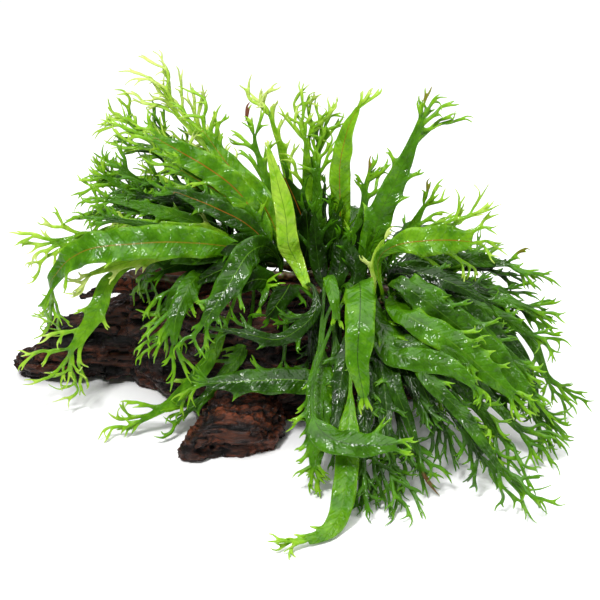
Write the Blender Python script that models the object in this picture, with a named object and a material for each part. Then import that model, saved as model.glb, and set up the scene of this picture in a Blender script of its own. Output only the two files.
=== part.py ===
"""Lace java fern growing on a piece of driftwood.

The wood is one weathered piece, split at its forks. Three rhizomes creep along its top, and every
frond is one leaf: a strap-shaped blade whose sides and end split into forked tips.
The origin is on the flat sole of the trunk, +Z is up and the front of the plant looks along -Y.
"""
import itertools
import math

import bmesh
import bpy
from mathutils import Matrix, Vector, noise
from mathutils.bvhtree import BVHTree

MM = 0.001

# Layout plane: fronds are laid out as seen from the front and above, in mm across and up that view.
SIGHT_PITCH = math.radians(26)
SIGHT_DISTANCE = 708
SIGHT_CENTRE = Vector((0, -20, 68))

# Fronds
BLADE_THICK = 0.8
FLOOR_CLEAR = 0.75
STALK_RISE = 5
STALK_LEAN = {"front": Vector((0, -0.75, 0.66)), "middle": Vector((0, 0, 1)), "back": Vector((0, 0.5, 0.87))}
ROW_STEP = 14
FEWEST_ROWS = 5
ROW_CROWDING = 0.75
STALK_WIDE = 1.5
BLADE_FOLD = 0.16
# The way a blade's upper side looks, in front of the crown and behind it, and for one that runs that way.
CROWN_LINE = 25
FRONT_FACING = Vector((0, -0.8, 0.6))
BACK_FACING = Vector((0, -0.3, 0.95))
END_FACING = Vector((0.4, -0.9, 0.2))
# Share of the widest width along a blade, from the stalk to where it splits.
BLADE_OUTLINE = ((0, 0.1), (0.2, 0.7), (0.42, 1.0), (0.72, 0.82), (1.0, 0.32))

# Lace fingers: each leaves the blade by the rim edge that turns it least and keeps it shortest.
FINGER_ROOT = 2.4
FINGER_TIP = 1.1
FINGER_ROWS = 2
FINGER_BEND = 0.45
FIRST_SPLIT = 0.3
END_SPREAD = 0.3
SIDE_SPREAD = 0.6
TURN_COST = 80
STEEPEST = 0.3

# Rhizomes
RHIZOME_THICK = 4.6
RHIZOME_STEP = 9
RHIZOME_CLEAR = 0.7
RHIZOMES = {
    "front": ((-22, -8), (0, -10), (25, -9), (48, -4), (62, 2)),
    "middle": ((-96, 24), (-80, 16), (-50, 11), (-20, 9), (10, 11), (40, 12), (66, 12), (78, 14)),
    "back": ((-46, 30), (-25, 27), (0, 28), (25, 26), (50, 24)),
}

# Driftwood: rings along X, each (x, y, z, half depth, half height).
FORK_GAP = 0.3
LEFT_FORK = -90
RIGHT_FORK = 48
TRUNK_RINGS = (
    (LEFT_FORK, 29, 27, 18, 32), (-82, 26, 27, 22, 33), (-73, 21, 27, 26, 34), (-64, 17, 27, 28, 35),
    (-53, 13, 27, 30, 37), (-40, 10, 27, 32, 40), (-26, 8, 26, 33, 42), (-12, 7, 26, 34, 41),
    (2, 7, 26, 34, 40), (15, 7, 25, 34, 39), (27, 9, 24, 31, 37), (38, 11, 23, 29, 35),
    (RIGHT_FORK, 12, 22, 27, 34),
)
LEFT_LIMB_RINGS = (
    (-155, 28, 6, 5, 4), (-152, 28, 6, 8, 6), (-147, 27, 7, 11, 7), (-142, 27, 8, 12, 8),
    (-139, 28, 12, 14, 12), (-135, 28, 16, 14, 17), (-131, 28, 15, 15, 15), (-125, 28, 16, 15, 16),
    (-118, 28, 17, 16, 17), (-112, 28, 19, 15, 19), (-106, 28, 19, 17, 19), (-100, 28, 22, 16, 22),
    (-95, 28, 23, 17, 23), (LEFT_FORK - FORK_GAP, 28, 24, 17, 25),
)
RIGHT_LIMB_RINGS = (
    (RIGHT_FORK + FORK_GAP, 12, 27, 25, 28), (57, 12, 25, 23, 26), (66, 11, 22, 20, 23),
    (75, 10, 18, 16, 18), (82, 9, 13, 11, 13), (87, 8, 10, 6, 7),
)
FRONT_BLOCK_RINGS = (
    (-60, -59, 3, 3, 3), (-57, -58, 4.5, 6, 5.5), (-53, -54, 6, 11, 7), (-48, -49, 7, 15, 11),
    (-41, -43, 9, 18, 13.5), (-34, -41, 10, 20, 14), (-27, -41, 10, 20, 13), (-20, -40, 10, 18, 14),
    (-14, -39, 9, 15, 12), (-10, -38, 7, 9, 8), (-8, -38, 6, 5, 5),
)
SPLINTER_RINGS = (
    (-118, 23, 48, 0.9, 0.8), (-112, 24, 51, 3, 1.9), (-105, 25, 54, 5, 2.6),
    (-98, 26, 55, 7, 3.4), (LEFT_FORK - FORK_GAP, 27, 55, 9, 3.9),
)
FULL_SIZE = 24
BOXINESS = 2.8
GRAIN_RIDGES = 7
RIDGE_DEPTH = 1.8
DRIFT_LENGTH = 40
LUMP_SIZE = 18
LUMP_PITCH = 1.7
LUMP_DEPTH = 6.5
LEDGES = 1.7
LEDGE_DEPTH = 7.5
# Hollows of the front: middle, reach and depth. One is the dark cavity under the upper ledge, one the long
# recess between the left limb's two beams, and the last the trunk's undercut beside its front block.
HOLLOWS = (
    (Vector((-74, -4, 51)), Vector((16, 20, 5)), 15),
    (Vector((-112, 14, 25)), Vector((27, 14, 5)), 11),
    (Vector((-60, -16, 20)), Vector((22, 16, 6)), 8),
)
CURVE_STEPS = 16

# Each frond: rhizome, foot along X, widest width, the share of its length that is bare stalk, way points
# (across, rise, depth) and its lace tips (across, rise), all in mm but the share. Depth is measured back
# from the middle of the view.
FRONDS = {
    "glossy_broad": (
        "middle", -10, 15, 0.15,
        ((-17, 27, 19), (-26, 23, 4), (-33, 12, -7), (-42, -2, -15), (-48, -12, -19)),
        ((-56, -22), (-62, -30), (-50, -33), (-46, -26)),
    ),
    "glossy_narrow": (
        "middle", -45, 10, 0.15,
        ((-50, 13, 18), (-56, 6, 3), (-62, -9, -9), (-63, -22, -14)),
        ((-81, -22), (-83, -28), (-82, -33), (-65, -46), (-54, -42)),
    ),
    "hooked": (
        "front", 7, 7.5, 0.15,
        ((7, 6, -2), (8, -5, -11), (0, -14, -14), (-11, -20, -15), (-22, -18, -16), (-36, -15, -15)),
        ((-12, -3), (-15, -9), (-35, -3), (-51, -12), (-47, -19)),
    ),
    "olive_stem": (
        "front", -16, 3, 0.15,
        ((-8, -5, -4), (-7, -14, -11), (-8, -30, -13)),
        ((-5, -38), (-12, -37)),
    ),
    "flat_front": (
        "front", 32, 13.5, 0.42,
        ((26, -18, -15), (16, -40, -22), (-5, -40, -24), (-30, -41, -25), (-46, -42, -26)),
        ((-54, -38), (-55, -45)),
    ),
    "low_left": (
        "middle", -30, 8, 0.4,
        ((-32, 2, 3), (-42, -24, -9), (-52, -39, -13), (-65, -52, -16), (-79, -60, -18)),
        ((-96, -56), (-90, -51), (-101, -70), (-92, -65), (-84, -67)),
    ),
    "left_arch": (
        "middle", -26, 17, 0.22,
        ((-32, 26, 22), (-62, 29, 11), (-86, 28, 7), (-104, 26, 7), (-116, 20, 9), (-125, 9, 12)),
        ((-134, -20), (-125, -18), (-119, -18), (-131, -8)),
    ),
    "left_reach": (
        "middle", -36, 10, 0.3,
        ((-60, 35, 32), (-85, 34, 30), (-106, 30, 28), (-124, 29, 26)),
        ((-146, 34), (-143, 27), (-130, 42), (-134, 16), (-137, 8)),
    ),
    "left_yellow": (
        "middle", -50, 6, 0.3,
        ((-66, 22, 20), (-86, 19, 13), (-105, 13, 13)),
        ((-119, 4), (-113, 2), (-118, 12)),
    ),
    "left_hanging": (
        "middle", -74, 10, 0.3,
        ((-86, 16, 25), (-96, 9, 21), (-100, -2, 14), (-107, -15, 9), (-115, -25, 6)),
        ((-141, -36), (-139, -42), (-132, -22), (-124, -51), (-117, -44), (-107, -48)),
    ),
    "upper_left_a": (
        "middle", -14, 14, 0.15,
        ((-11, 32, 35), (-20, 50, 40), (-37, 69, 48), (-48, 84, 54)),
        ((-61, 107), (-66, 99), (-39, 98), (-43, 95)),
    ),
    "upper_left_b": (
        "middle", -20, 14, 0.15,
        ((-18, 33, 30), (-30, 53, 34), (-46, 66, 37), (-72, 81, 40)),
        ((-85, 89), (-90, 93), (-100, 90), (-88, 80)),
    ),
    "upper_left_c": (
        "back", -22, 5, 0.2,
        ((-26, 42, 50), (-45, 54, 52), (-64, 70, 57), (-80, 77, 60)),
        ((-98, 80), (-94, 88), (-90, 74)),
    ),
    "upper_left_d": (
        "middle", -32, 7, 0.15,
        ((-38, 33, 33), (-58, 41, 31), (-80, 47, 29), (-95, 50, 28)),
        ((-110, 53), (-106, 44), (-103, 58)),
    ),
    "upper_left_e": (
        "back", -31, 8, 0.2,
        ((-38, 46, 50), (-54, 54, 50), (-74, 59, 50), (-90, 62, 50)),
        ((-105, 67), (-103, 58), (-109, 60), (-96, 72)),
    ),
    "upper_left_f": (
        "back", -16, 6, 0.25,
        ((-22, 45, 58), (-42, 72, 64), (-63, 94, 69)),
        ((-81, 122), (-91, 114), (-71, 120), (-88, 104), (-76, 112)),
    ),
    "upper_left_g": (
        "back", -8, 6, 0.25,
        ((-16, 43, 64), (-37, 69, 70), (-56, 90, 75)),
        ((-62, 117), (-55, 109), (-71, 104), (-49, 108)),
    ),
    "upper_left_h": (
        "back", -36, 6, 0.25,
        ((-46, 52, 62), (-66, 72, 68), (-85, 88, 70)),
        ((-96, 101), (-102, 88), (-104, 82), (-93, 105), (-97, 94)),
    ),
    "upper_left_i": (
        "middle", -56, 6, 0.25,
        ((-62, 40, 44), (-80, 52, 44), (-98, 62, 42)),
        ((-103, 72), (-106, 66), (-111, 60), (-115, 52), (-113, 44)),
    ),
    "crown_pale": (
        "front", 2, 11, 0.15,
        ((-1, 18, 18), (-6, 28, 16), (-7, 41, 19), (-11, 58, 24), (-16, 76, 29)),
        ((-17, 80),),
    ),
    "crown_lace_a": (
        "middle", -4, 5, 0.2,
        ((-7, 35, 44), (-14, 52, 48), (-20, 68, 51), (-23, 82, 54)),
        ((-25, 99), (-18, 97), (-35, 85), (-28, 92), (-31, 75), (-10, 80)),
    ),
    "crown_lace_b": (
        "back", 6, 6, 0.2,
        ((6, 38, 52), (4, 58, 58), (3, 80, 62)),
        ((-11, 98), (0, 110), (5, 108), (11, 103), (18, 102), (-11, 73)),
    ),
    "crown_lace_c": (
        "back", -1, 5, 0.2,
        ((-3, 42, 62), (-8, 70, 68), (-15, 92, 73)),
        ((-24, 113), (-27, 105), (-19, 106), (-11, 100)),
    ),
    "crown_upright": (
        "middle", 18, 11, 0.2,
        ((20, 30, 42), (20, 50, 44), (20, 68, 48), (24, 86, 51), (29, 96, 53)),
        ((36, 106), (41, 106)),
    ),
    "crown_young": (
        "back", 14, 2.5, 0.15,
        ((12, 46, 49), (12.5, 58, 50)),
        ((12, 63),),
    ),
    "crown_lace_d": (
        "middle", 26, 5, 0.2,
        ((27, 27, 34), (29, 36, 37), (32, 46, 40), (32, 58, 43)),
        ((36, 73), (39, 74), (44, 71), (27, 63), (45, 67)),
    ),
    "right_upright": (
        "middle", 34, 12, 0.15,
        ((34, 20, 24), (39, 40, 27), (47.5, 59, 31), (54.5, 74, 34), (61, 91, 38)),
        ((66, 107), (59, 100), (70, 103), (74, 101), (80, 98), (87, 91)),
    ),
    "right_lace": (
        "middle", 44, 6, 0.2,
        ((50, 28, 36), (56, 36, 38), (62, 47, 40)),
        ((65, 61), (72, 61), (73, 56), (75, 43), (82, 41), (87, 36)),
    ),
    "right_bright": (
        "front", 42, 15, 0.15,
        ((39, 20, 10), (50, 28, 6), (72, 30, 6), (86, 29, 8)),
        ((100, 43), (97, 50), (101, 48), (77, -1), (104, 22), (88, 8)),
    ),
    "front_lobed": (
        "front", 16, 7, 0.15,
        ((14, 12, -1), (17, 0, -19), (19, -10, -23)),
        ((22, -15), (16, -13)),
    ),
    "front_dark": (
        "front", 20, 5, 0.25,
        ((19, -8, -3), (18, -24, -11), (18, -40, -15)),
        ((22, -54), (15, -51)),
    ),
    "front_bright": (
        "front", 28, 14.5, 0.15,
        ((30, 8, -15), (30, -9, -44), (29, -30, -54), (32, -48, -60)),
        ((36, -56), (31, -58)),
    ),
    "right_long_a": (
        "front", 53, 15, 0.15,
        ((52, 8, -9), (66, -2, -20), (86, -18, -26), (102, -34, -32), (116, -49, -37)),
        ((130, -62), (126, -54), (120, -58)),
    ),
    "right_long_b": (
        "front", 49, 14, 0.15,
        ((52, -7, -25), (74, -20, -37), (92, -35, -43), (106, -47, -48)),
        ((118, -58), (112, -61), (119, -50)),
    ),
    "right_long_c": (
        "front", 40, 12, 0.15,
        ((38, -12, -20), (46, -27, -40), (62, -30, -47), (76, -34, -52), (87, -42, -56)),
        ((95, -54), (89, -55)),
    ),
    "right_long_d": (
        "front", 36.5, 12, 0.15,
        ((38, -26, -25), (52, -37, -32), (68, -42, -39), (82, -54, -46)),
        ((84, -66), (92, -70), (100, -76), (106, -70), (107, -84)),
    ),
    "right_outer": (
        "middle", 77, 7, 0.3,
        ((82, 4, 15), (106, -10, 11), (117, -22, 5), (124, -41, -1)),
        ((139, -53), (146, -56), (133, -63)),
    ),
    "right_lace_high": (
        "middle", 54, 8, 0.3,
        ((64, 20, 24), (86, 20, 21), (104, 18, 18)),
        ((115, 25), (120, 15), (131, 6), (122, 8)),
    ),
    "right_lace_mid": (
        "middle", 61, 9, 0.15,
        ((76, 8, 17), (96, 2, 10), (114, -4, 4)),
        ((133, -12), (131, 0), (128, -18)),
    ),
    "right_lace_low": (
        "front", 60, 8, 0.15,
        ((72, 3, 2), (96, -6, -4), (116, -18, -9)),
        ((136, -24), (128, -31), (132, -16)),
    ),
    "right_dark": (
        "front", 55, 9, 0.15,
        ((56, 13, -4), (74, 9, -12), (92, 0, -16)),
        ((101, -10), (105, 0)),
    ),
    "low_across": (
        "front", 25, 14, 0.6,
        ((18, -8, -14), (7, -38, -46), (7, -60, -68), (16, -70, -78), (32, -73, -83), (48, -72, -85)),
        ((60, -70), (57, -77)),
    ),
    "low_hanging": (
        "front", 18, 12, 0.45,
        ((12, -12, -13), (11, -36, -36), (9, -60, -52), (8, -82, -68)),
        ((9, -98), (5, -95)),
    ),
    "low_curving": (
        "front", 30, 11, 0.5,
        ((26, -22, -30), (25, -52, -56), (24, -72, -71), (23, -86, -83), (21, -102, -96),
        (15, -115, -106), (4, -120.5, -114)),
        ((-17, -121), (-15, -124), (-7, -119)),
    ),
    "low_lace_a": (
        "front", 34, 7, 0.35,
        ((36, -30, -37), (42, -58, -56), (45, -82, -72)),
        ((42, -113), (54, -114), (63, -110), (50, -106), (38, -103)),
    ),
    "low_lace_b": (
        "front", 44, 7, 0.35,
        ((46, -36, -43), (54, -60, -58), (60, -78, -68)),
        ((70, -98), (64, -99), (76, -92)),
    ),
    "low_lace_c": (
        "front", 46, 8, 0.3,
        ((60, -34, -47), (80, -56, -64), (100, -84, -82)),
        ((119, -112), (124, -107), (133, -102), (111, -106)),
    ),
    "low_lace_d": (
        "front", 57, 7, 0.3,
        ((74, -22, -31), (96, -50, -38), (110, -66, -44)),
        ((135, -74), (122, -82), (130, -88), (129, -70)),
    ),
    "back_a": (
        "back", -42, 10, 0.15,
        ((-48, 42, 78), (-60, 38, 98), (-70, 31, 108)),
        ((-84, 26), (-76, 20), (-88, 34)),
    ),
    "back_b": (
        "back", -12, 11, 0.15,
        ((-12, 46, 84), (-14, 42, 102), (-18, 34, 112)),
        ((-26, 24), (-16, 20), (-30, 32)),
    ),
    "back_c": (
        "back", 22, 11, 0.15,
        ((26, 46, 80), (34, 42, 98), (42, 34, 108)),
        ((54, 26), (46, 20), (58, 34)),
    ),
    "back_d": (
        "back", 44, 10, 0.15,
        ((56, 36, 74), (72, 32, 88), (84, 24, 96)),
        ((98, 20), (92, 12), (102, 28)),
    ),
}

# Colour, roughness, metallic
FROND_GREEN = ((0.075, 0.26, 0.018), 0.32, 0.0)
WOOD_BROWN = ((0.03, 0.014, 0.01), 0.5, 0.0)
RHIZOME_BROWN = ((0.16, 0.07, 0.02), 0.55, 0.0)


def clear_scene():
    for thing in list(bpy.data.objects):
        bpy.data.objects.remove(thing)


def finish_of(name, look):
    colour, roughness, metallic = look
    material = bpy.data.materials.new(name)
    material.use_nodes = True
    shader = material.node_tree.nodes["Principled BSDF"]
    shader.inputs["Base Color"].default_value = (*colour, 1)
    shader.inputs["Roughness"].default_value = roughness
    shader.inputs["Metallic"].default_value = metallic
    return material


def placed(name, bm, look, smooth=True):
    """A new object that holds this mesh, turned from millimetres to metres."""
    bmesh.ops.scale(bm, vec=(MM, MM, MM), verts=bm.verts)
    mesh = bpy.data.meshes.new(name)
    bm.to_mesh(mesh)
    bm.free()
    if smooth:
        mesh.shade_smooth()
    mesh.materials.append(finish_of(name, look))
    thing = bpy.data.objects.new(name, mesh)
    bpy.context.scene.collection.objects.link(thing)
    return thing


# Driftwood

def weathered(place, centre, reach):
    """A point of a round ring moved to the boxy, ridged and pitted surface of old wood."""
    side = (place.y - centre.y) / reach.y
    rise = (place.z - centre.z) / reach.z
    angle = math.atan2(rise, side)
    square = (abs(math.cos(angle)) ** BOXINESS + abs(math.sin(angle)) ** BOXINESS) ** (-1 / BOXINESS)
    drift = noise.noise(Vector((place.x / DRIFT_LENGTH, 0, 0.5)))
    ridge = RIDGE_DEPTH * math.sin(GRAIN_RIDGES * angle + 3 * drift)
    lump = LUMP_DEPTH * noise.noise(Vector((place.x / LUMP_SIZE, side * LUMP_PITCH, rise * LUMP_PITCH)))
    ledge = LEDGE_DEPTH * ((rise * LEDGES + drift) % 1 - 0.5) * abs(math.cos(angle))
    size = min(reach.y, reach.z) / FULL_SIZE
    outward = Vector((0, math.cos(angle) * reach.y, math.sin(angle) * reach.z))
    moved = Vector((place.x, centre.y, centre.z)) + outward * square
    moved += outward.normalized() * (ridge + lump + ledge) * min(1, size)
    return moved


def hollowed(place):
    """Pushes a point of the surface back into the wood at each hollow of its front."""
    pushed = 0
    for middle, reach, depth in HOLLOWS:
        away = place - middle
        share = sum((away[i] / reach[i]) ** 2 for i in range(3))
        pushed += depth * math.exp(-2 * share)
    return place + Vector((0, pushed, 0))


def wood_mesh(rings, sides, grow=0.0):
    """A closed length of wood: a ring extruded from station to station, then weathered."""
    bm = bmesh.new()
    x, y, z, deep, high = rings[0]
    upright = Matrix.Rotation(math.radians(90), 4, "Y")
    bmesh.ops.create_circle(bm, cap_ends=True, segments=sides, radius=1, matrix=upright)
    bmesh.ops.scale(bm, vec=(1, deep + grow, high + grow), verts=bm.verts)
    bmesh.ops.translate(bm, vec=(x, y, z), verts=bm.verts)
    face = bm.faces[:][0]
    stations = {vert: rings[0] for vert in face.verts}
    for before, ring in zip(rings, rings[1:]):
        inner = face
        out = bmesh.ops.extrude_face_region(bm, geom=[face])
        face = next(item for item in out["geom"] if isinstance(item, bmesh.types.BMFace))
        if before is not rings[0]:
            bmesh.ops.delete(bm, geom=[inner], context="FACES_ONLY")
        verts = list(face.verts)
        back = Matrix.Translation(-Vector(before[:3]))
        ratio = Vector((1, (ring[3] + grow) / (before[3] + grow), (ring[4] + grow) / (before[4] + grow)))
        bmesh.ops.scale(bm, vec=ratio, space=back, verts=verts)
        bmesh.ops.translate(bm, vec=Vector(ring[:3]) - Vector(before[:3]), verts=verts)
        stations.update({vert: ring for vert in verts})
    for vert, (x, y, z, deep, high) in stations.items():
        vert.co = weathered(vert.co, Vector((x, y, z)), Vector((1, deep + grow, high + grow)))
    bmesh.ops.recalc_face_normals(bm, faces=bm.faces)
    return bm


def level_sole(bm):
    """Cuts the wood off flat where it stands on the floor."""
    everything = bm.verts[:] + bm.edges[:] + bm.faces[:]
    cut = bmesh.ops.bisect_plane(bm, geom=everything, plane_co=(0, 0, 0), plane_no=(0, 0, -1),
                                 clear_outer=True)
    rim = [item for item in cut["geom_cut"] if isinstance(item, bmesh.types.BMEdge)]
    bmesh.ops.holes_fill(bm, edges=rim, sides=0)
    bmesh.ops.triangulate(bm, faces=bm.faces)
    bmesh.ops.recalc_face_normals(bm, faces=bm.faces)


def wood_piece(name, rings, sides, grow=0.0):
    bm = wood_mesh(rings, sides, grow)
    for vert in bm.verts:
        vert.co = hollowed(vert.co)
    if grow == 0:
        level_sole(bm)
    return placed(name, bm, WOOD_BROWN, smooth=False)


def driftwood():
    trunk = wood_piece("wood_trunk", TRUNK_RINGS, 24)
    wood_piece("wood_left_limb", LEFT_LIMB_RINGS, 18)
    wood_piece("wood_right_limb", RIGHT_LIMB_RINGS, 16)
    wood_piece("wood_splinter", SPLINTER_RINGS, 8)
    wood_piece("wood_front_block", FRONT_BLOCK_RINGS, 16)
    seat = wood_piece("front_block_seat", FRONT_BLOCK_RINGS, 16, FORK_GAP * 2.2)
    seat.hide_render = True
    seat.display_type = "WIRE"
    cut = trunk.modifiers.new("front_block_seat", "BOOLEAN")
    cut.operation = "DIFFERENCE"
    cut.object = seat
    return trunk


# Rhizomes

def smooth_route(points, shares):
    """Points at these shares of the length of one smooth curve through all of the given points."""
    ends = [2 * points[0] - points[1]] + list(points) + [2 * points[-1] - points[-2]]
    fine = []
    for a, b, c, d in zip(ends, ends[1:], ends[2:], ends[3:]):
        for step in range(CURVE_STEPS):
            t = step / CURVE_STEPS
            fine.append(0.5 * (2 * b + (c - a) * t + (2 * a - 5 * b + 4 * c - d) * t ** 2
                               + (3 * b - a - 3 * c + d) * t ** 3))
    fine.append(points[-1])
    along = [0.0]
    for before, after in zip(fine, fine[1:]):
        along.append(along[-1] + (after - before).length)
    route = []
    index = 0
    for share in shares:
        reach = along[-1] * share
        while index < len(along) - 2 and along[index + 1] < reach:
            index += 1
        onward = (reach - along[index]) / (along[index + 1] - along[index])
        route.append(fine[index].lerp(fine[index + 1], onward))
    return route


def wood_surface():
    """Every piece of wood in one tree of triangles, for laying things on it."""
    graph = bpy.context.evaluated_depsgraph_get()
    points, faces = [], []
    for thing in bpy.data.objects:
        if not thing.name.startswith("wood_"):
            continue
        mesh = thing.evaluated_get(graph).to_mesh()
        start = len(points)
        points += [vert.co / MM for vert in mesh.vertices]
        faces += [[start + index for index in face.vertices] for face in mesh.polygons]
    return BVHTree.FromPolygons(points, faces)


def rhizome_route(plan, surface):
    """The plan's (x, y) points laid along the top of the wood, just clear of it."""
    flat = [Vector((x, y, 0)) for x, y in plan]
    length = sum((b - a).length for a, b in zip(flat, flat[1:]))
    steps = round(length / RHIZOME_STEP)
    route = smooth_route(flat, [step / steps for step in range(steps + 1)])
    laid = []
    for place in route:
        highest = 0
        for dx in (-RHIZOME_STEP / 2, 0, RHIZOME_STEP / 2):
            for dy in (-RHIZOME_THICK / 2, 0, RHIZOME_THICK / 2):
                above = Vector((place.x + dx, place.y + dy, SIGHT_DISTANCE))
                hit = surface.ray_cast(above, Vector((0, 0, -1)))[0]
                highest = max(highest, hit.z if hit else 0)
        laid.append(Vector((place.x, place.y, highest + RHIZOME_THICK / 2 + RHIZOME_CLEAR)))
    return laid


def rhizome(name, route):
    curve = bpy.data.curves.new(name, "CURVE")
    curve.dimensions = "3D"
    curve.bevel_depth = RHIZOME_THICK / 2 * MM
    curve.bevel_resolution = 1
    curve.use_fill_caps = True
    spline = curve.splines.new("POLY")
    spline.points.add(len(route) - 1)
    for point, place in zip(spline.points, route):
        point.co = (*(place * MM), 1)
    spline.points[0].radius = 0.55
    spline.points[-1].radius = 0.55
    curve.materials.append(finish_of(name, RHIZOME_BROWN))
    thing = bpy.data.objects.new(name, curve)
    bpy.context.scene.collection.objects.link(thing)


# Fronds

def seen(across, rise, depth):
    """The place of a point given in the layout plane. One under the floor is brought forward onto it."""
    down, back = math.sin(SIGHT_PITCH), math.cos(SIGHT_PITCH)
    slope = rise / SIGHT_DISTANCE
    height = (slope * (SIGHT_DISTANCE + depth * back) - depth * down) / (back + slope * down)
    lowest = FLOOR_CLEAR - SIGHT_CENTRE.z
    if height < lowest:
        height = lowest
        depth = (slope * (SIGHT_DISTANCE - height * down) - height * back) / (down - slope * back)
    away = SIGHT_DISTANCE + depth * back - height * down
    return SIGHT_CENTRE + Vector((across * away / SIGHT_DISTANCE, depth, height))


def share_at(outline, reach):
    """The outline's value at this reach, straight between its points."""
    for (start, low), (end, high) in zip(outline, outline[1:]):
        if reach <= end:
            return low + (high - low) * (reach - start) / (end - start)
    return outline[-1][1]


def stalk(route, x, lean):
    """The first two points of a stalk: clear of its rhizome by the fork gap, then straight away from it."""
    for before, after in zip(route, route[1:]):
        if before.x <= x <= after.x:
            place = before.lerp(after, (x - before.x) / (after.x - before.x))
            foot = place + lean * (RHIZOME_THICK / 2 + FORK_GAP + BLADE_THICK / 2)
            return [foot, foot + lean * STALK_RISE]
    raise ValueError(f"no rhizome at {x}")


def extrude_row(bm, edges, verts, places):
    """Extrudes a row of edges and puts its new points, in the order of the old ones, at these places."""
    out = bmesh.ops.extrude_edge_only(bm, edges=edges)
    new = {item for item in out["geom"] if isinstance(item, bmesh.types.BMVert)}
    after = []
    for vert, place in zip(verts, places):
        twin = next(edge.other_vert(vert) for edge in vert.link_edges if edge.other_vert(vert) in new)
        twin.co = place
        after.append(twin)
    fresh = [next(edge for edge in a.link_edges if edge.other_vert(a) is b) for a, b in zip(after, after[1:])]
    return fresh, after


def finger(bm, rim, tip):
    """A lace finger: extrudes one rim edge towards its tip, narrowing on the way."""
    edge, outward, normal, onward = rim
    left, right = edge.verts
    middle = (left.co + right.co) / 2
    across = (right.co - left.co).normalized()
    start = ((tip - middle).normalized() + (onward + outward).normalized()).normalized()
    bend = middle + start * (tip - middle).length * FINGER_BEND
    edges, verts = [edge], [left, right]
    last = middle
    for step in range(1, FINGER_ROWS + 1):
        t = step / FINGER_ROWS
        place = middle * (1 - t) ** 2 + bend * 2 * t * (1 - t) + tip * t ** 2
        sideways = normal.cross(place - last).normalized()
        if sideways.dot(across) < 0:
            sideways = -sideways
        half = (FINGER_ROOT + (FINGER_TIP - FINGER_ROOT) * t) / 2
        edges, verts = extrude_row(bm, edges, verts, (place - sideways * half, place + sideways * half))
        across = sideways
        last = place


def blade_shares(points, stalk_share):
    """Where the rows of a frond lie, as shares of its length: closer together towards the tip."""
    length = sum((b - a).length for a, b in zip(points, points[1:]))
    stalk_rows = max(1, round(length * stalk_share / ROW_STEP))
    rows = max(FEWEST_ROWS, round(length * (1 - stalk_share) / ROW_STEP))
    shares = [stalk_share * step / stalk_rows for step in range(stalk_rows)]
    blade = [(step / rows) ** ROW_CROWDING for step in range(rows + 1)]
    return shares + [stalk_share + (1 - stalk_share) * reach for reach in blade]


def blade_rows(points, widest, stalk_share):
    """For each row of a frond its share of the blade, its three points and its own directions."""
    shares = blade_shares(points, stalk_share)
    route = smooth_route(points, shares)
    rows = []
    for share, before, place, after in zip(shares, route[:1] + route, route, route[1:] + route[-1:]):
        onward = (after - before).normalized()
        sideways = onward.cross(FRONT_FACING if place.y < CROWN_LINE else BACK_FACING)
        if sideways.length < 0.3:
            sideways = onward.cross(END_FACING)
        sideways.normalize()
        normal = sideways.cross(onward)
        if rows and sideways.dot(rows[-1][2]) < 0:
            sideways, normal = -sideways, -normal
        reach = max(0, (share - stalk_share) / (1 - stalk_share))
        half = max(STALK_WIDE, widest * share_at(BLADE_OUTLINE, reach)) / 2
        if share < stalk_share:
            half = STALK_WIDE / 2
        sunk = place - normal * half * BLADE_FOLD
        across = (place - sideways * half, sunk, place + sideways * half)
        rows.append((reach, across, sideways, normal, onward))
    return rows


def middle_of(rim):
    return (rim[0].verts[0].co + rim[0].verts[1].co) / 2


def rims_for(tips, rims):
    """The rim edge that the finger to each tip leaves from, with no two fingers crossed."""
    free = list(rims)
    chosen = []
    for tip in tips:
        costs = []
        for rim in free:
            gap = tip - middle_of(rim)
            wanted = (rim[3] + rim[1]).normalized()
            costs.append(gap.length - TURN_COST * gap.normalized().dot(wanted))
        chosen.append(free.pop(costs.index(min(costs))))
    for i, k in itertools.product(range(len(tips)), repeat=2):
        kept = (tips[i] - middle_of(chosen[i])).length + (tips[k] - middle_of(chosen[k])).length
        swapped = (tips[i] - middle_of(chosen[k])).length + (tips[k] - middle_of(chosen[i])).length
        if swapped < kept:
            chosen[i], chosen[k] = chosen[k], chosen[i]
    return chosen


def frond_mesh(base, widest, stalk_share, way, tips):
    """The sheet of one frond: a blade extruded row by row, then its fingers out of its rim."""
    points = base + [seen(*stop) for stop in way]
    rows = blade_rows(points, widest, stalk_share)
    bm = bmesh.new()
    verts = [bm.verts.new(place) for place in rows[0][1]]
    edges = [bm.edges.new(pair) for pair in zip(verts, verts[1:])]
    rims = []
    for reach, places, sideways, normal, onward in rows[1:]:
        before = verts
        edges, verts = extrude_row(bm, edges, verts, places)
        if reach > FIRST_SPLIT:
            for side, a, b in ((-1, before[0], verts[0]), (1, before[2], verts[2])):
                edge = next(edge for edge in a.link_edges if edge.other_vert(a) is b)
                rims.append((edge, sideways * side * SIDE_SPREAD, normal, onward))
    sideways, normal, onward = rows[-1][2:]
    rims += [(edge, sideways * side * END_SPREAD, normal, onward) for side, edge in zip((-1, 1), edges)]
    across, rise, depth = way[-1]
    slope = (depth - way[-2][2]) / math.dist(way[-1][:2], way[-2][:2])
    slope = max(-STEEPEST, min(STEEPEST, slope))
    places = []
    for tip in sorted(tips, key=lambda tip: -math.dist(tip, (across, rise))):
        places.append(seen(*tip, depth + slope * math.dist(tip, (across, rise))))
    for place, rim in zip(places, rims_for(places, rims)):
        finger(bm, rim, place)
    bmesh.ops.recalc_face_normals(bm, faces=bm.faces)
    return bm


def frond(name, base, widest, stalk_share, way, tips):
    thing = placed("frond_" + name, frond_mesh(base, widest, stalk_share, way, tips), FROND_GREEN)
    flesh = thing.modifiers.new("flesh", "SOLIDIFY")
    flesh.thickness = BLADE_THICK * MM
    flesh.offset = 0
    return thing


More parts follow.
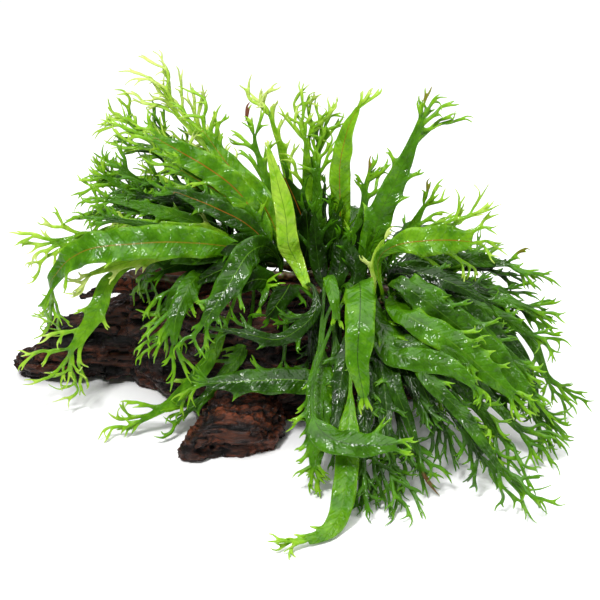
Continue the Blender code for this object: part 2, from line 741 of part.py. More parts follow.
def main():
    clear_scene()
    driftwood()
    surface = wood_surface()
    routes = {name: rhizome_route(plan, surface) for name, plan in RHIZOMES.items()}
    for name, route in routes.items():
        rhizome("rhizome_" + name, route)
    for name, (row, x, widest, stalk_share, way, tips) in FRONDS.items():
        frond(name, stalk(routes[row], x, STALK_LEAN[row]), widest, stalk_share, way, tips)


main()
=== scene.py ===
"""Lace java fern growing on a piece of driftwood, dressed for the render."""
import math
import random
from collections import namedtuple

import bmesh
import bpy
from mathutils import Matrix, Vector, noise
from mathutils.bvhtree import BVHTree


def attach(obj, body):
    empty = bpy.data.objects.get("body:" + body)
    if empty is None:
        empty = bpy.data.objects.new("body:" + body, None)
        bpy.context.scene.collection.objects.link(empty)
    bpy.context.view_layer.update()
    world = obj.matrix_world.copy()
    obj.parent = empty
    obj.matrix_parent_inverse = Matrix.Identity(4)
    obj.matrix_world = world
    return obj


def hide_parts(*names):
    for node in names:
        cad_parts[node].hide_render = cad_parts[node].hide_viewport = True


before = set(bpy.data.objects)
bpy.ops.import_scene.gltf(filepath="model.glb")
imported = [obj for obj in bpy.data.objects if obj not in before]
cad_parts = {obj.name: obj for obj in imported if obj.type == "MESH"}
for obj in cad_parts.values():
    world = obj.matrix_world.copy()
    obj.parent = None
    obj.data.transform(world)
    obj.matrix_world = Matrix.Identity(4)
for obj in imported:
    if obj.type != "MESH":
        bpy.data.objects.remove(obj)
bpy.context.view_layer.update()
scene = bpy.context.scene

MM = 0.001

# Camera: 26 degrees above the floor, looking along +Y at the middle of the plant, in mm
SIGHT_PITCH = math.radians(26)
SIGHT_DISTANCE = 708
SIGHT_CENTRE = Vector((0, -20, 68))
LENS = 85
SENSOR = 36

# Fronds, in mm
FLOOR_CLEAR = 0.8
STALK_WIDE = 1.6
BLADE_COLUMNS = (-1, -0.5, 0, 0.5, 1)
BLADE_FOLD = 0.16
BLADE_CAMBER = 0.07
BLADE_TWIST = 0.5
TWIST_LENGTH = 60
STEADINESS = 1.5
ROW_STEP = 4
ROUTE_STEPS = 16
BLADE_OUTLINE = ((0, 0.1), (0.2, 0.7), (0.42, 1.0), (0.72, 0.82), (1.0, 0.32))
FULL_OUTLINE = ((0, 0.4), (0.15, 0.85), (0.35, 1.0), (0.75, 0.95), (1.0, 0.34))
LATE_OUTLINE = ((0, 0.1), (0.35, 0.45), (0.55, 0.95), (0.85, 1.0), (1.0, 0.4))
PALE_OUTLINE = ((0, 0.28), (0.18, 0.55), (0.4, 1.0), (0.72, 0.8), (1.0, 0.2))
TAPER_OUTLINE = ((0, 0.4), (0.15, 1.0), (0.35, 1.1), (0.6, 0.85), (0.82, 0.45), (1.0, 0.24))
ROUND_OUTLINE = ((0, 0.5), (0.1, 0.95), (0.4, 1.0), (0.7, 0.8), (1.0, 0.4))
RUFFLE_LENGTH = 15
RUFFLE_DEPTH = 0.17
RUFFLE_LAG = 1.4
RIM_JITTER = 0.16
RIM_JITTER_LENGTHS = (4, 13)
DIMPLE = 0.9
DIMPLE_LENGTH = 7
FLESH = 1.5
FLESH_STALK = 1.0
FLESH_RIB = 0.55
FLESH_BLADE = 0.28
FLESH_LACE = 0.3

STALK_RISE = 5
STALK_LEAN = {"front": Vector((0, -0.75, 0.66)), "middle": Vector((0, 0, 1)), "back": Vector((0, 0.5, 0.87))}
RHIZOME_THICK = 4.6
RHIZOME_GRIT = 0.7
RHIZOME_KNOT = 0.9
RHIZOME_SCALY = 0.7
RHIZOME_SUNK = 0.4
RHIZOME_NEAR = 24
# The upper sides of fronds face this way in front of the crown, behind it, and where a frond runs that way.
CROWN_LINE = 25
FRONT_FACING = Vector((0, -0.8, 0.6))
BACK_FACING = Vector((0, -0.3, 0.95))
END_FACING = Vector((0.4, -0.9, 0.2))

# Lace, in mm. A ribbon with one, two or three forks to come makes the next one at such a share of its length.
# One that runs to a main tip forks once more for each of these reaches that it is longer than.
FORK_PLACES = ((0.5, 0.72), (0.34, 0.5), (0.25, 0.4))
FORK_REACHES = (11, 24)
LACE_STEP = 2.6
LACE_WIDE = 2.2
LACE_THINNING = 0.85
FORK_TURNS = (math.radians(15), math.radians(75))
WEB = 0.6
LACE_AIM = 0.42
LACE_BEND = 0.28
LACE_SWAY = 0.6
LACE_POINT = 0.16
LACE_FROM = 0.3
LOBE_LENGTHS = (0.25, 0.95)
LOBE_FORKS = 7
LOBE_LIFT = 0.45
LOBE_ROLL = 0.7
# How far from blade to lace a ribbon is that has no, one, two or three forks to come: the more, the paler
LACE_PALE = (0.7, 0.45, 0.25, 0.1)
# How far the lace leans out, from one side of the blade's end to the other
END_SPREADS = (-0.6, -0.2, 0.2, 0.6)
AIM_WEIGHT = 80
TIP_SLOPE = 0.3
FRINGE_SHARE = 0.12
INNER_FRINGE = 0.15
FRINGE_SIZES = (4, 12)
FRINGE_FORKS = 6

# Each frond: its name, its tone from old dark leaf (0) to young pale leaf (1), the midrib's colour (0 dark,
# 0.5 pale, 1 orange), its rhizome, foot along X, widest width, the share of its length that is bare stalk,
# way points (across, rise, depth) and lace tips (across, rise). Lengths are in mm.
FRONDS = (
    ("glossy_broad", 0.3, 0.5, "middle", -10, 15, 0.15, ((-17, 27, 19), (-26, 23, 4), (-33, 12, -7),
     (-42, -2, -15), (-48, -12, -19)), ((-56, -22), (-62, -30), (-50, -33), (-46, -26))),
    ("glossy_narrow", 0.42, 0.5, "middle", -45, 10, 0.15, ((-50, 13, 18), (-56, 6, 3), (-62, -9, -9),
     (-63, -22, -14)), ((-81, -22), (-83, -28), (-82, -33), (-65, -46), (-54, -42))),
    ("hooked", 0.2, 0.5, "front", 7, 7.5, 0.15, ((7, 6, -2), (8, -5, -11), (0, -14, -14), (-11, -20, -15),
     (-22, -18, -16), (-36, -15, -15)), ((-12, -3), (-15, -9), (-35, -3), (-51, -12), (-47, -19))),
    ("olive_stem", 0.3, 0.5, "front", -16, 3, 0.15, ((-8, -5, -4), (-7, -14, -11), (-8, -30, -13)),
     ((-5, -38), (-12, -37))),
    ("flat_front", 0.3, 0.5, "front", 32, 13.5, 0.42, ((26, -18, -15), (16, -40, -22), (-5, -40, -24),
     (-30, -41, -25), (-46, -42, -26)), ((-54, -38), (-55, -45))),
    ("low_left", 0.6, 0.5, "middle", -30, 8, 0.4, ((-32, 2, 3), (-42, -24, -9), (-52, -39, -13),
     (-65, -52, -16), (-79, -60, -18)), ((-96, -56), (-90, -51), (-101, -70), (-92, -65), (-84, -67))),
    ("left_arch", 0.54, 0.75, "middle", -26, 17, 0.22, ((-32, 26, 22), (-62, 29, 11), (-86, 28, 7),
     (-104, 26, 7), (-116, 20, 9), (-125, 9, 12)), ((-134, -20), (-125, -18), (-119, -18), (-131, -8))),
    ("left_reach", 0.74, 0.5, "middle", -36, 10, 0.3, ((-60, 35, 32), (-85, 34, 30), (-106, 30, 28),
     (-124, 29, 26)), ((-146, 34), (-143, 27), (-130, 42), (-134, 16), (-137, 8))),
    ("left_yellow", 0.95, 0.5, "middle", -50, 6, 0.3, ((-66, 22, 20), (-86, 19, 13), (-105, 13, 13)),
     ((-119, 4), (-113, 2), (-118, 12))),
    ("left_hanging", 0.64, 0.5, "middle", -74, 10, 0.3, ((-86, 16, 25), (-96, 9, 21), (-100, -2, 14),
     (-107, -15, 9), (-115, -25, 6)),
     ((-141, -36), (-139, -42), (-132, -22), (-124, -51), (-117, -44), (-107, -48))),
    ("upper_left_a", 0.62, 1, "middle", -14, 14, 0.15, ((-11, 32, 35), (-20, 50, 40), (-37, 69, 48),
     (-48, 84, 54)), ((-61, 107), (-66, 99), (-39, 98), (-43, 95))),
    ("upper_left_b", 0.57, 1, "middle", -20, 14, 0.15, ((-18, 33, 30), (-30, 53, 34), (-46, 66, 37),
     (-72, 81, 40)), ((-85, 89), (-90, 93), (-100, 90), (-88, 80))),
    ("upper_left_c", 0.67, 0.5, "back", -22, 5, 0.2, ((-26, 42, 50), (-45, 54, 52), (-64, 70, 57),
     (-80, 77, 60)), ((-98, 80), (-94, 88), (-90, 74))),
    ("upper_left_d", 0.47, 0.5, "middle", -32, 7, 0.15, ((-38, 33, 33), (-58, 41, 31), (-80, 47, 29),
     (-95, 50, 28)), ((-110, 53), (-106, 44), (-103, 58))),
    ("upper_left_e", 0.42, 0.1, "back", -31, 8, 0.2, ((-38, 46, 50), (-54, 54, 50), (-74, 59, 50),
     (-90, 62, 50)), ((-105, 67), (-103, 58), (-109, 60), (-96, 72))),
    ("upper_left_f", 0.87, 0.5, "back", -16, 6, 0.25, ((-22, 45, 58), (-42, 72, 64), (-63, 94, 69)),
     ((-81, 122), (-91, 114), (-71, 120), (-88, 104), (-76, 112))),
    ("upper_left_g", 0.82, 0.5, "back", -8, 6, 0.25, ((-16, 43, 64), (-37, 69, 70), (-56, 90, 75)),
     ((-62, 117), (-55, 109), (-71, 104), (-49, 108))),
    ("upper_left_h", 0.67, 0.5, "back", -36, 6, 0.25, ((-46, 52, 62), (-66, 72, 68), (-85, 88, 70)),
     ((-96, 101), (-102, 88), (-104, 82), (-93, 105), (-97, 94))),
    ("upper_left_i", 0.57, 0.5, "middle", -56, 6, 0.25, ((-62, 40, 44), (-80, 52, 44), (-98, 62, 42)),
     ((-103, 72), (-106, 66), (-111, 60), (-115, 52), (-113, 44))),
    ("crown_pale", 0.9, 0.5, "front", 2, 11, 0.02, ((-1, 18, 18), (-6, 28, 16), (-7, 41, 19), (-11, 58, 24),
     (-16, 76, 29)), ((-17, 80),)),
    ("crown_lace_a", 0.55, 0.5, "middle", -4, 5, 0.2, ((-7, 35, 44), (-14, 52, 48), (-20, 68, 51),
     (-23, 82, 54)), ((-25, 99), (-18, 97), (-35, 85), (-28, 92), (-31, 75), (-10, 80))),
    ("crown_lace_b", 0.7, 0.5, "back", 6, 6, 0.2, ((6, 38, 52), (4, 58, 58), (3, 80, 62)),
     ((-11, 98), (0, 110), (5, 108), (11, 103), (18, 102), (-11, 73))),
    ("crown_lace_c", 0.8, 0.5, "back", -1, 5, 0.2, ((-3, 42, 62), (-8, 70, 68), (-15, 92, 73)),
     ((-24, 113), (-27, 105), (-19, 106), (-11, 100))),
    ("crown_upright", 0.75, 0.9, "middle", 18, 11, 0.1, ((20, 30, 42), (20, 50, 44), (20, 68, 48),
     (24, 86, 51), (29, 96, 53)), ((36, 106), (41, 106))),
    ("crown_young", 0.1, 0.5, "back", 14, 2.5, 0.15, ((12, 46, 49), (12.5, 58, 50)), ((12, 63),)),
    ("crown_lace_d", 0.5, 0.5, "middle", 26, 5, 0.2, ((27, 27, 34), (29, 36, 37), (32, 46, 40),
     (32, 58, 43)), ((36, 73), (39, 74), (44, 71), (27, 63), (45, 67))),
    ("right_upright", 0.5, 0.3, "middle", 34, 12, 0.1, ((34, 20, 24), (39, 40, 27), (47.5, 59, 31),
     (54.5, 74, 34), (61, 91, 38)), ((66, 107), (59, 100), (70, 103), (74, 101), (80, 98), (87, 91))),
    ("right_lace", 0.55, 0.5, "middle", 44, 6, 0.2, ((50, 28, 36), (56, 36, 38), (62, 47, 40)),
     ((65, 61), (72, 61), (73, 56), (75, 43), (82, 41), (87, 36))),
    ("right_bright", 0.64, 0.9, "front", 42, 15, 0.15, ((39, 20, 10), (50, 28, 6), (72, 30, 6),
     (86, 29, 8)), ((100, 43), (97, 50), (101, 48), (77, -1), (104, 22), (88, 8))),
    ("front_lobed", 0.5, 0.5, "front", 16, 7, 0.15, ((14, 12, -1), (17, 0, -19), (19, -10, -23)),
     ((22, -15), (16, -13))),
    ("front_dark", 0.1, 0.3, "front", 20, 5, 0.25, ((19, -8, -3), (18, -24, -11), (18, -40, -15)),
     ((22, -54), (15, -51))),
    ("front_bright", 0.55, 0.1, "front", 28, 14.5, 0.08, ((30, 8, -15), (30, -9, -44), (29, -30, -54),
     (32, -48, -60)), ((36, -56), (31, -58))),
    ("right_long_a", 0.45, 0.3, "front", 53, 15, 0.15, ((52, 8, -9), (66, -2, -20), (86, -18, -26),
     (102, -34, -32), (116, -49, -37)), ((130, -62), (126, -54), (120, -58))),
    ("right_long_b", 0.5, 0.5, "front", 49, 14, 0.15, ((52, -7, -25), (74, -20, -37), (92, -35, -43),
     (106, -47, -48)), ((118, -58), (112, -61), (119, -50))),
    ("right_long_c", 0.45, 0.3, "front", 40, 12, 0.15, ((38, -12, -20), (46, -27, -40), (62, -30, -47),
     (76, -34, -52), (87, -42, -56)), ((95, -54), (89, -55))),
    ("right_long_d", 0.5, 0.5, "front", 36.5, 12, 0.15, ((38, -26, -25), (52, -37, -32), (68, -42, -39),
     (82, -54, -46)), ((84, -66), (92, -70), (100, -76), (106, -70), (107, -84))),
    ("right_outer", 0.4, 0.4, "middle", 77, 7, 0.3, ((82, 4, 15), (106, -10, 11), (117, -22, 5),
     (124, -41, -1)), ((139, -53), (146, -56), (133, -63))),
    ("right_lace_high", 0.4, 0.4, "middle", 54, 8, 0.3, ((64, 20, 24), (86, 20, 21), (104, 18, 18)),
     ((115, 25), (120, 15), (131, 6), (122, 8))),
    ("right_lace_mid", 0.4, 0.4, "middle", 61, 9, 0.15, ((76, 8, 17), (96, 2, 10), (114, -4, 4)),
     ((133, -12), (131, 0), (128, -18))),
    ("right_lace_low", 0.4, 0.4, "front", 60, 8, 0.15, ((72, 3, 2), (96, -6, -4), (116, -18, -9)),
     ((136, -24), (128, -31), (132, -16))),
    ("right_dark", 0.15, 0.3, "front", 55, 9, 0.15, ((56, 13, -4), (74, 9, -12), (92, 0, -16)),
     ((101, -10), (105, 0))),
    ("low_across", 0.45, 0.1, "front", 25, 14, 0.68, ((18, -8, -14), (7, -38, -46), (7, -60, -68),
     (16, -70, -78), (32, -73, -83), (48, -72, -85)), ((60, -70), (57, -77))),
    ("low_hanging", 0.45, 0.3, "front", 18, 12, 0.45, ((12, -12, -13), (11, -36, -36), (9, -60, -52),
     (8, -82, -68)), ((9, -98), (5, -95))),
    ("low_curving", 0.6, 0.5, "front", 30, 11, 0.5, ((26, -22, -30), (25, -52, -56), (24, -72, -71),
     (23, -86, -83), (21, -102, -96), (15, -115, -106), (4, -120.5, -114)),
     ((-17, -121), (-15, -124), (-7, -119))),
    ("low_lace_a", 0.3, 0.3, "front", 34, 7, 0.35, ((36, -30, -37), (42, -58, -56), (45, -82, -72)),
     ((42, -113), (54, -114), (63, -110), (50, -106), (38, -103))),
    ("low_lace_b", 0.25, 0.3, "front", 44, 7, 0.35, ((46, -36, -43), (54, -60, -58), (60, -78, -68)),
     ((70, -98), (64, -99), (76, -92))),
    ("low_lace_c", 0.35, 0.3, "front", 46, 8, 0.3, ((60, -34, -47), (80, -56, -64), (100, -84, -82)),
     ((119, -112), (124, -107), (133, -102), (111, -106))),
    ("low_lace_d", 0.35, 0.3, "front", 57, 7, 0.3, ((74, -22, -31), (96, -50, -38), (110, -66, -44)),
     ((135, -74), (122, -82), (130, -88), (129, -70))),
    ("back_a", 0.4, 0.4, "back", -42, 10, 0.15, ((-48, 42, 78), (-60, 38, 98), (-70, 31, 108)),
     ((-84, 26), (-76, 20), (-88, 34))),
    ("back_b", 0.4, 0.4, "back", -12, 11, 0.15, ((-12, 46, 84), (-14, 42, 102), (-18, 34, 112)),
     ((-26, 24), (-16, 20), (-30, 32))),
    ("back_c", 0.4, 0.4, "back", 22, 11, 0.15, ((26, 46, 80), (34, 42, 98), (42, 34, 108)),
     ((54, 26), (46, 20), (58, 34))),
    ("back_d", 0.4, 0.4, "back", 44, 10, 0.15, ((56, 36, 74), (72, 32, 88), (84, 24, 96)),
     ((98, 20), (92, 12), (102, 28))),
)

# Fronds that fill the plant's inside, behind and between the others: their group, then the same values
# The deep group's dark tones and duller material are painted shade of the plant's inside.
INNER_FRONDS = (
    ("deep", 0.1, 1, "middle", 6, 13, 0.1, ((6, 27, 35), (0, 44, 41), (-7, 60, 46)), ((-12, 68), (-9, 70))),
    ("crown", 0.5, 0.3, "back", 10, 7, 0.15, ((10, 32, 46), (9, 50, 52), (8, 66, 57)),
     ((14, 86), (8, 90), (18, 80))),
    ("deep", 0.05, 0.1, "front", 12, 9, 0.1, ((10, 14, 16), (8, 28, 22), (7, 42, 28)), ((4, 50), (10, 52))),
    ("deep", 0.15, 0.3, "middle", 14, 8, 0.1, ((14, 26, 34), (15, 40, 40)), ((12, 54), (18, 52))),
    ("deep", 0.2, 0.3, "middle", 22, 9, 0.1, ((25, 20, 32), (29, 30, 36)), ((31, 42), (26, 44))),
    ("deep", 0.1, 1, "front", 34, 9, 0.1, ((36, 14, 14), (38, 24, 20)), ((43, 32), (36, 38))),
    ("crown", 1, 0.5, "front", 36, 4.5, 0.2, ((38, 22, 12), (42, 30, 14)), ((47, 37),)),
    ("left", 0.75, 0.5, "middle", -24, 7, 0.2, ((-40, 33, 30), (-64, 36, 26), (-88, 40, 24)),
     ((-97, 39), (-92, 44))),
    ("left", 0.45, 0.5, "middle", -18, 8, 0.2, ((-35, 35, 33), (-64, 42, 31), (-94, 46, 30)),
     ((-115, 41), (-119, 36), (-114, 30), (-104, 44))),
    ("left", 0.3, 1, "middle", -12, 11, 0.2, ((-24, 36, 28), (-42, 46, 28), (-62, 54, 28)),
     ((-78, 62), (-74, 56), (-70, 64))),
    ("olive", 0.45, 0.5, "front", -18, 5, 0.15, ((-17, 4, 0), (-20, -3, -6)), ((-22, -9),)),
    ("low", 0.15, 0.3, "front", 30, 8, 0.35, ((31, -24, -32), (33, -52, -54), (33, -72, -68)),
     ((30, -108), (36, -112), (42, -106), (26, -104), (46, -110))),
    ("low", 0.2, 0.3, "front", 38, 8, 0.35, ((40, -26, -35), (43, -50, -52), (44, -68, -64)),
     ((38, -96), (46, -102), (52, -98), (56, -90))),
    ("low", 0.2, 0.3, "front", 28, 9, 0.35, ((24, -22, -28), (20, -44, -44), (17, -64, -58)),
     ((14, -86), (22, -90), (8, -84))),
    ("low", 0.1, 0.3, "front", 48, 8, 0.3, ((56, -30, -38), (64, -50, -50), (71, -62, -56)),
     ((70, -84), (78, -86), (84, -78), (62, -80))),
    ("low", 0.3, 0.3, "front", 54, 8, 0.3, ((68, -26, -34), (86, -50, -44), (99, -66, -52)),
     ((96, -88), (104, -94), (112, -88), (118, -98))),
    ("low", 0.15, 0.3, "front", 42, 9, 0.3, ((48, -20, -30), (56, -36, -40), (62, -48, -46)),
     ((60, -64), (68, -66), (73, -56))),
    ("low", 0.2, 0.3, "front", 50, 8, 0.3, ((66, -34, -46), (80, -60, -60), (90, -78, -70)),
     ((96, -92), (88, -96), (102, -98), (84, -88))),
    ("low", 0.25, 0.3, "front", 34, 8, 0.35, ((34, -26, -34), (32, -54, -56), (31, -80, -70)),
     ((28, -108), (34, -111), (38, -105), (24, -104))),
    ("low", 0.45, 0.3, "front", 16, 9, 0.4, ((10, -20, -20), (8, -44, -42), (7, -66, -58), (6.5, -84, -69)),
     ((5, -97), (10, -99), (3, -88), (13, -92))),
    ("deep", 0.05, 0.1, "middle", 0, 14, 0.05, ((2, 18, 30), (4, 32, 34), (3, 44, 38)), ((1, 54), (6, 52))),
    ("deep", 0.05, 0.1, "middle", 12, 14, 0.05, ((14, 18, 30), (16, 32, 34), (19, 42, 38)),
     ((21, 52), (16, 51))),
    ("deep", 0.05, 0.1, "middle", 24, 14, 0.05, ((27, 16, 30), (31, 28, 33), (34, 38, 36)),
     ((37, 48), (32, 46))),
    ("deep", 0.1, 0.1, "front", 24, 12, 0.05, ((26, 6, 4), (28, 16, 10), (24, 28, 18)), ((22, 36),)),
    ("deep", 0.1, 0.1, "front", 18, 12, 0.05, ((18, 6, 6), (20, 18, 14), (19, 30, 22)), ((18, 38),)),
    ("crown", 0.6, 0.5, "back", 4, 7, 0.2, ((6, 38, 54), (7, 58, 60), (9, 78, 64)),
     ((14, 98), (19, 102), (9, 102), (22, 94))),
    ("deep", 0.1, 0.3, "middle", -8, 14, 0.05, ((-14, 22, 26), (-30, 28, 22), (-46, 26, 18)),
     ((-58, 22), (-55, 18))),
    ("deep", 0.1, 0.3, "middle", -20, 13, 0.05, ((-24, 16, 20), (-36, 16, 16), (-50, 10, 10)), ((-62, 4),)),
    ("deep", 0.15, 0.3, "middle", -34, 12, 0.05, ((-40, 20, 24), (-54, 20, 20), (-68, 15, 16)),
     ((-78, 10),)),
    ("deep", 0.1, 0.3, "front", -12, 12, 0.05, ((-16, 10, 4), (-24, 10, -2), (-32, 4, -6)), ((-40, -3),)),
    ("deep", 0.1, 0.3, "front", -4, 11, 0.05, ((-6, 6, 0), (-10, 0, -6), (-16, -8, -10)), ((-20, -14),)),
    ("right", 0.25, 0.3, "middle", 60, 10, 0.1, ((80, 2, 8), (100, -14, 2), (113, -32, -4), (118, -48, -8)),
     ((122, -60), (116, -62))),
    ("right", 0.3, 0.3, "front", 58, 9, 0.15, ((80, -8, -14), (104, -30, -22), (118, -52, -28)),
     ((130, -74), (126, -84), (134, -68), (121, -80))),
    ("right", 0.3, 0.3, "front", 60, 8, 0.15, ((84, -12, -16), (108, -36, -26), (124, -60, -32)),
     ((134, -78), (137, -70), (129, -80), (136, -62))),
    ("upper", 0.55, 0.5, "back", -24, 7, 0.2, ((-34, 46, 54), (-52, 64, 60), (-66, 76, 64)),
     ((-76, 92), (-70, 98), (-82, 86), (-66, 90))),
    ("upper", 0.45, 0.5, "middle", -40, 7, 0.2, ((-52, 40, 40), (-74, 54, 42), (-90, 66, 44)),
     ((-104, 72), (-98, 78), (-100, 64), (-92, 80))),
)

# How brown the first tip of these fronds is
WILTED = {
    "crown_lace_a": 1, "right_upright": 0.6, "low_lace_b": 0.8, "right_lace_high": 0.6, "right_lace": 0.6,
    "crown_lace_d": 0.7,
}
# The share of rim points that carry side lobes, where it isn't the usual one
FRINGES = {
    "glossy_broad": 0.02, "front_bright": 0, "crown_pale": 0, "right_bright": 0, "low_across": 0.05,
    "low_hanging": 0.45, "left_arch": 0.06, "crown_upright": 0.03, "low_curving": 0.02,
}
# Blades with an outline of their own
OUTLINES = {
    "crown_pale": PALE_OUTLINE, "right_upright": TAPER_OUTLINE, "right_bright": LATE_OUTLINE,
    "low_across": ROUND_OUTLINE,
    **dict.fromkeys(("front_bright", "flat_front", "right_long_a", "right_long_b", "right_long_c",
                     "left_arch", "low_hanging", "low_curving", "upper_left_b", "crown_upright"),
                    FULL_OUTLINE),
}
# These have less bare stalk than their companions.
STALK_SHARES = {"right_long_a": 0.1, "right_long_b": 0.1, "left_arch": 0.15}

RHIZOME_ROWS = ("front", "middle", "back")
# Beds of hair roots: rhizome, from x, to x and the side of the wood they run down.
ROOT_BEDS = (("front", -20, 60, -1), ("middle", -94, -30, -1), ("middle", -60, 76, 1), ("back", -44, 48, 1))
ROOTS_A_BED = 40
ROOT_STEP = 2.4
ROOT_LIFT = 0.35
ROOT_STEPS = (6, 16)
ROOT_WANDER = 0.35
ROOT_FALL = Vector((0, 0, -0.1))
ROOT_HOLD = 12
ROOT_THICK = (0.45, 0.9)
ROOT_SEED = 5

# Patterns of the materials: how wide a patch, a drop, a fibre or a scale is, in mm
BLOTCH = 9.091
WATER_DROP = 3.125
VEIN_GAP = 4.2
VEIN_SLANT = 4.1
WOOD_FIBRE = 1.3333
WOOD_PATCH = 14.286
# The wood's patterns are drawn out along the grain: one fibre is 1 / 0.12 times as long as it is wide.
ALONG_GRAIN = 0.12
RHIZOME_SCALE = 2.381
RHIZOME_PATCH = 6.25
ROOT_PATCH = 11.111
WATER_IOR = 1.33
GLOW_SHARE = 0.26

WOOD_NODES = ("wood_trunk", "wood_left_limb", "wood_right_limb", "wood_front_block", "wood_splinter")
WOOD_GRIT = 1.15
WOOD_SWELL = 0.35
WOOD_CLEAR = 2.5
# Where the wood is crumbly and red, and where its top on the left is lighter and redder, partly red wood and
# partly painted light from above: middle and reach
CRUMBLY = ((-34, -42, 8), (30, 17, 22))
RED_TOP_IN_LIGHT = ((-74, 0, 63), (30, 1000, 8))
# Cavities in its front, pressed in and darkened with painted shade: middle along X, half length, height above
# the floor and half height
RECESSES = ((-114, 24, 27, 3.5), (-74, 12, 55, 3.5), (-60, 18, 21, 4))
RECESS_DEPTH = 5
FISSURE_DEPTH = 3.4
SPLIT_DEPTH = 1.1
LEDGE_RISE = 10.5
LEDGE_DEPTH = 3.2
LUMP = 2.2
CRUMB = 1.8

# How many fronds of the understory grow beside each frond of a group, or of this name. Others have one.
COMPANIONS = {
    "crown": 0, "upper": 3, "right": 2, "low": 2, "left": 0, "front": 0, "back": 4, "glossy_broad": 0,
    "hooked": 0, "olive_stem": 0, "flat_front": 0, "low_left": 1, "left_arch": 1, "upper_left_a": 0,
    "upper_left_b": 2, "upper_left_f": 2, "upper_left_g": 0, "right_upright": 0, "right_lace": 0,
    "right_bright": 0, "front_lobed": 1, "front_dark": 2, "right_lace_mid": 3, "right_lace_low": 3,
    "right_dark": 3, "low_across": 0, "low_hanging": 1, "low_curving": 0, "low_lace_d": 3,
}
COMPANION_SHIFT = 9
COMPANION_TURN = 24
COMPANION_TILT = (-7, 9)
COMPANION_SIZE = (0.6, 0.95)
INNER_SEED = 500
COMPANION_SEED = 2000

# Soft lights: name, place and size in metres, and watts
LIGHTS = (("key", (-0.3, -0.6, 1.0), 0.22, 11), ("top", (0.1, 0.2, 1.7), 2.4, 38),
          ("side", (0.9, -0.4, 0.6), 0.3, 3))
AIR_STRENGTH = 0.17
BOARD_SIZE = 4000


# Small helpers

def linear(code):
    """An sRGB hex colour as linear red, green, blue and alpha."""
    parts = [int(code[i:i + 2], 16) / 255 for i in (1, 3, 5)]
    return (*(c / 12.92 if c <= 0.04045 else ((c + 0.055) / 1.055) ** 2.4 for c in parts), 1)


def node(tree, kind, settings=(), links=(), out=0):
    """Adds a shader node with its settings (a ramp's are its stops) and links, and returns one output."""
    made = tree.nodes.new("ShaderNode" + kind)
    for name, value in dict(settings).items():
        if name == "stops":
            elements = made.color_ramp.elements
            while len(elements) < len(value):
                elements.new(0.5)
            for element, (position, code) in zip(elements, value):
                element.position = position
                element.color = linear(code)
        elif isinstance(name, str) and hasattr(made, name):
            setattr(made, name, value)
        else:
            made.inputs[name].default_value = value
    for socket, output in dict(links).items():
        tree.links.new(output, made.inputs[socket])
    return None if out is None else made.outputs[out]


def placed(name, bm, *materials):
    """Puts a mesh in the scene, just as it is."""
    mesh = bpy.data.meshes.new(name)
    bm.to_mesh(mesh)
    bm.free()
    for material in materials:
        mesh.materials.append(material)
    thing = bpy.data.objects.new(name, mesh)
    scene.collection.objects.link(thing)
    return thing


def piece(name, bm, material, slot, *nodes):
    """Turns a mesh in mm into a finished piece on the root body, in place of these CAD nodes."""
    bmesh.ops.scale(bm, vec=(MM, MM, MM), verts=bm.verts)
    thing = placed(name, bm, material)
    thing.data.shade_smooth()
    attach(thing, "root")
    if nodes:
        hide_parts(*nodes)
    return thing


def smooth_route(points, shares):
    """Points at these shares of the length of one smooth curve through all of the given points."""
    ends = [2 * points[0] - points[1]] + list(points) + [2 * points[-1] - points[-2]]
    fine = []
    for a, b, c, d in zip(ends, ends[1:], ends[2:], ends[3:]):
        for step in range(ROUTE_STEPS):
            t = step / ROUTE_STEPS
            fine.append(0.5 * (2 * b + (c - a) * t + (2 * a - 5 * b + 4 * c - d) * t ** 2
                               + (3 * b - a - 3 * c + d) * t ** 3))
    fine.append(points[-1])
    along = [0.0]
    for before, after in zip(fine, fine[1:]):
        along.append(along[-1] + (after - before).length)
    route = []
    index = 0
    for share in shares:
        reach = along[-1] * share
        while index < len(along) - 2 and along[index + 1] < reach:
            index += 1
        onward = (reach - along[index]) / (along[index + 1] - along[index])
        route.append(fine[index].lerp(fine[index + 1], onward))
    return route


def share_at(outline, reach):
    """How wide an outline is at this share of the blade."""
    for (start, low), (end, high) in zip(outline, outline[1:]):
        if reach <= end:
            return low + (high - low) * (reach - start) / (end - start)
    return outline[-1][1]


def seen(across, rise, depth):
    """The place of a point of the layout, seen from the front. One under the floor is brought forward."""
    down, back = math.sin(SIGHT_PITCH), math.cos(SIGHT_PITCH)
    slope = rise / SIGHT_DISTANCE
    height = (slope * (SIGHT_DISTANCE + depth * back) - depth * down) / (back + slope * down)
    lowest = FLOOR_CLEAR - SIGHT_CENTRE.z
    if height < lowest:
        height = lowest
        depth = (slope * (SIGHT_DISTANCE - height * down) - height * back) / (down - slope * back)
    away = SIGHT_DISTANCE + depth * back - height * down
    return SIGHT_CENTRE + Vector((across * away / SIGHT_DISTANCE, depth, height))


# Materials

def scale_of(size):
    """The scale of a pattern whose patches are this many mm wide."""
    return 1 / (size * MM)


def new_material(name):
    """A material with no nodes yet, and its node tree."""
    made = bpy.data.materials.new(name)
    made.use_nodes = True
    made.node_tree.nodes.clear()
    return made, made.node_tree


def surfaced(material, shader):
    """The material, finished, with this shader as its surface."""
    node(material.node_tree, "OutputMaterial", links={"Surface": shader}, out=None)
    return material


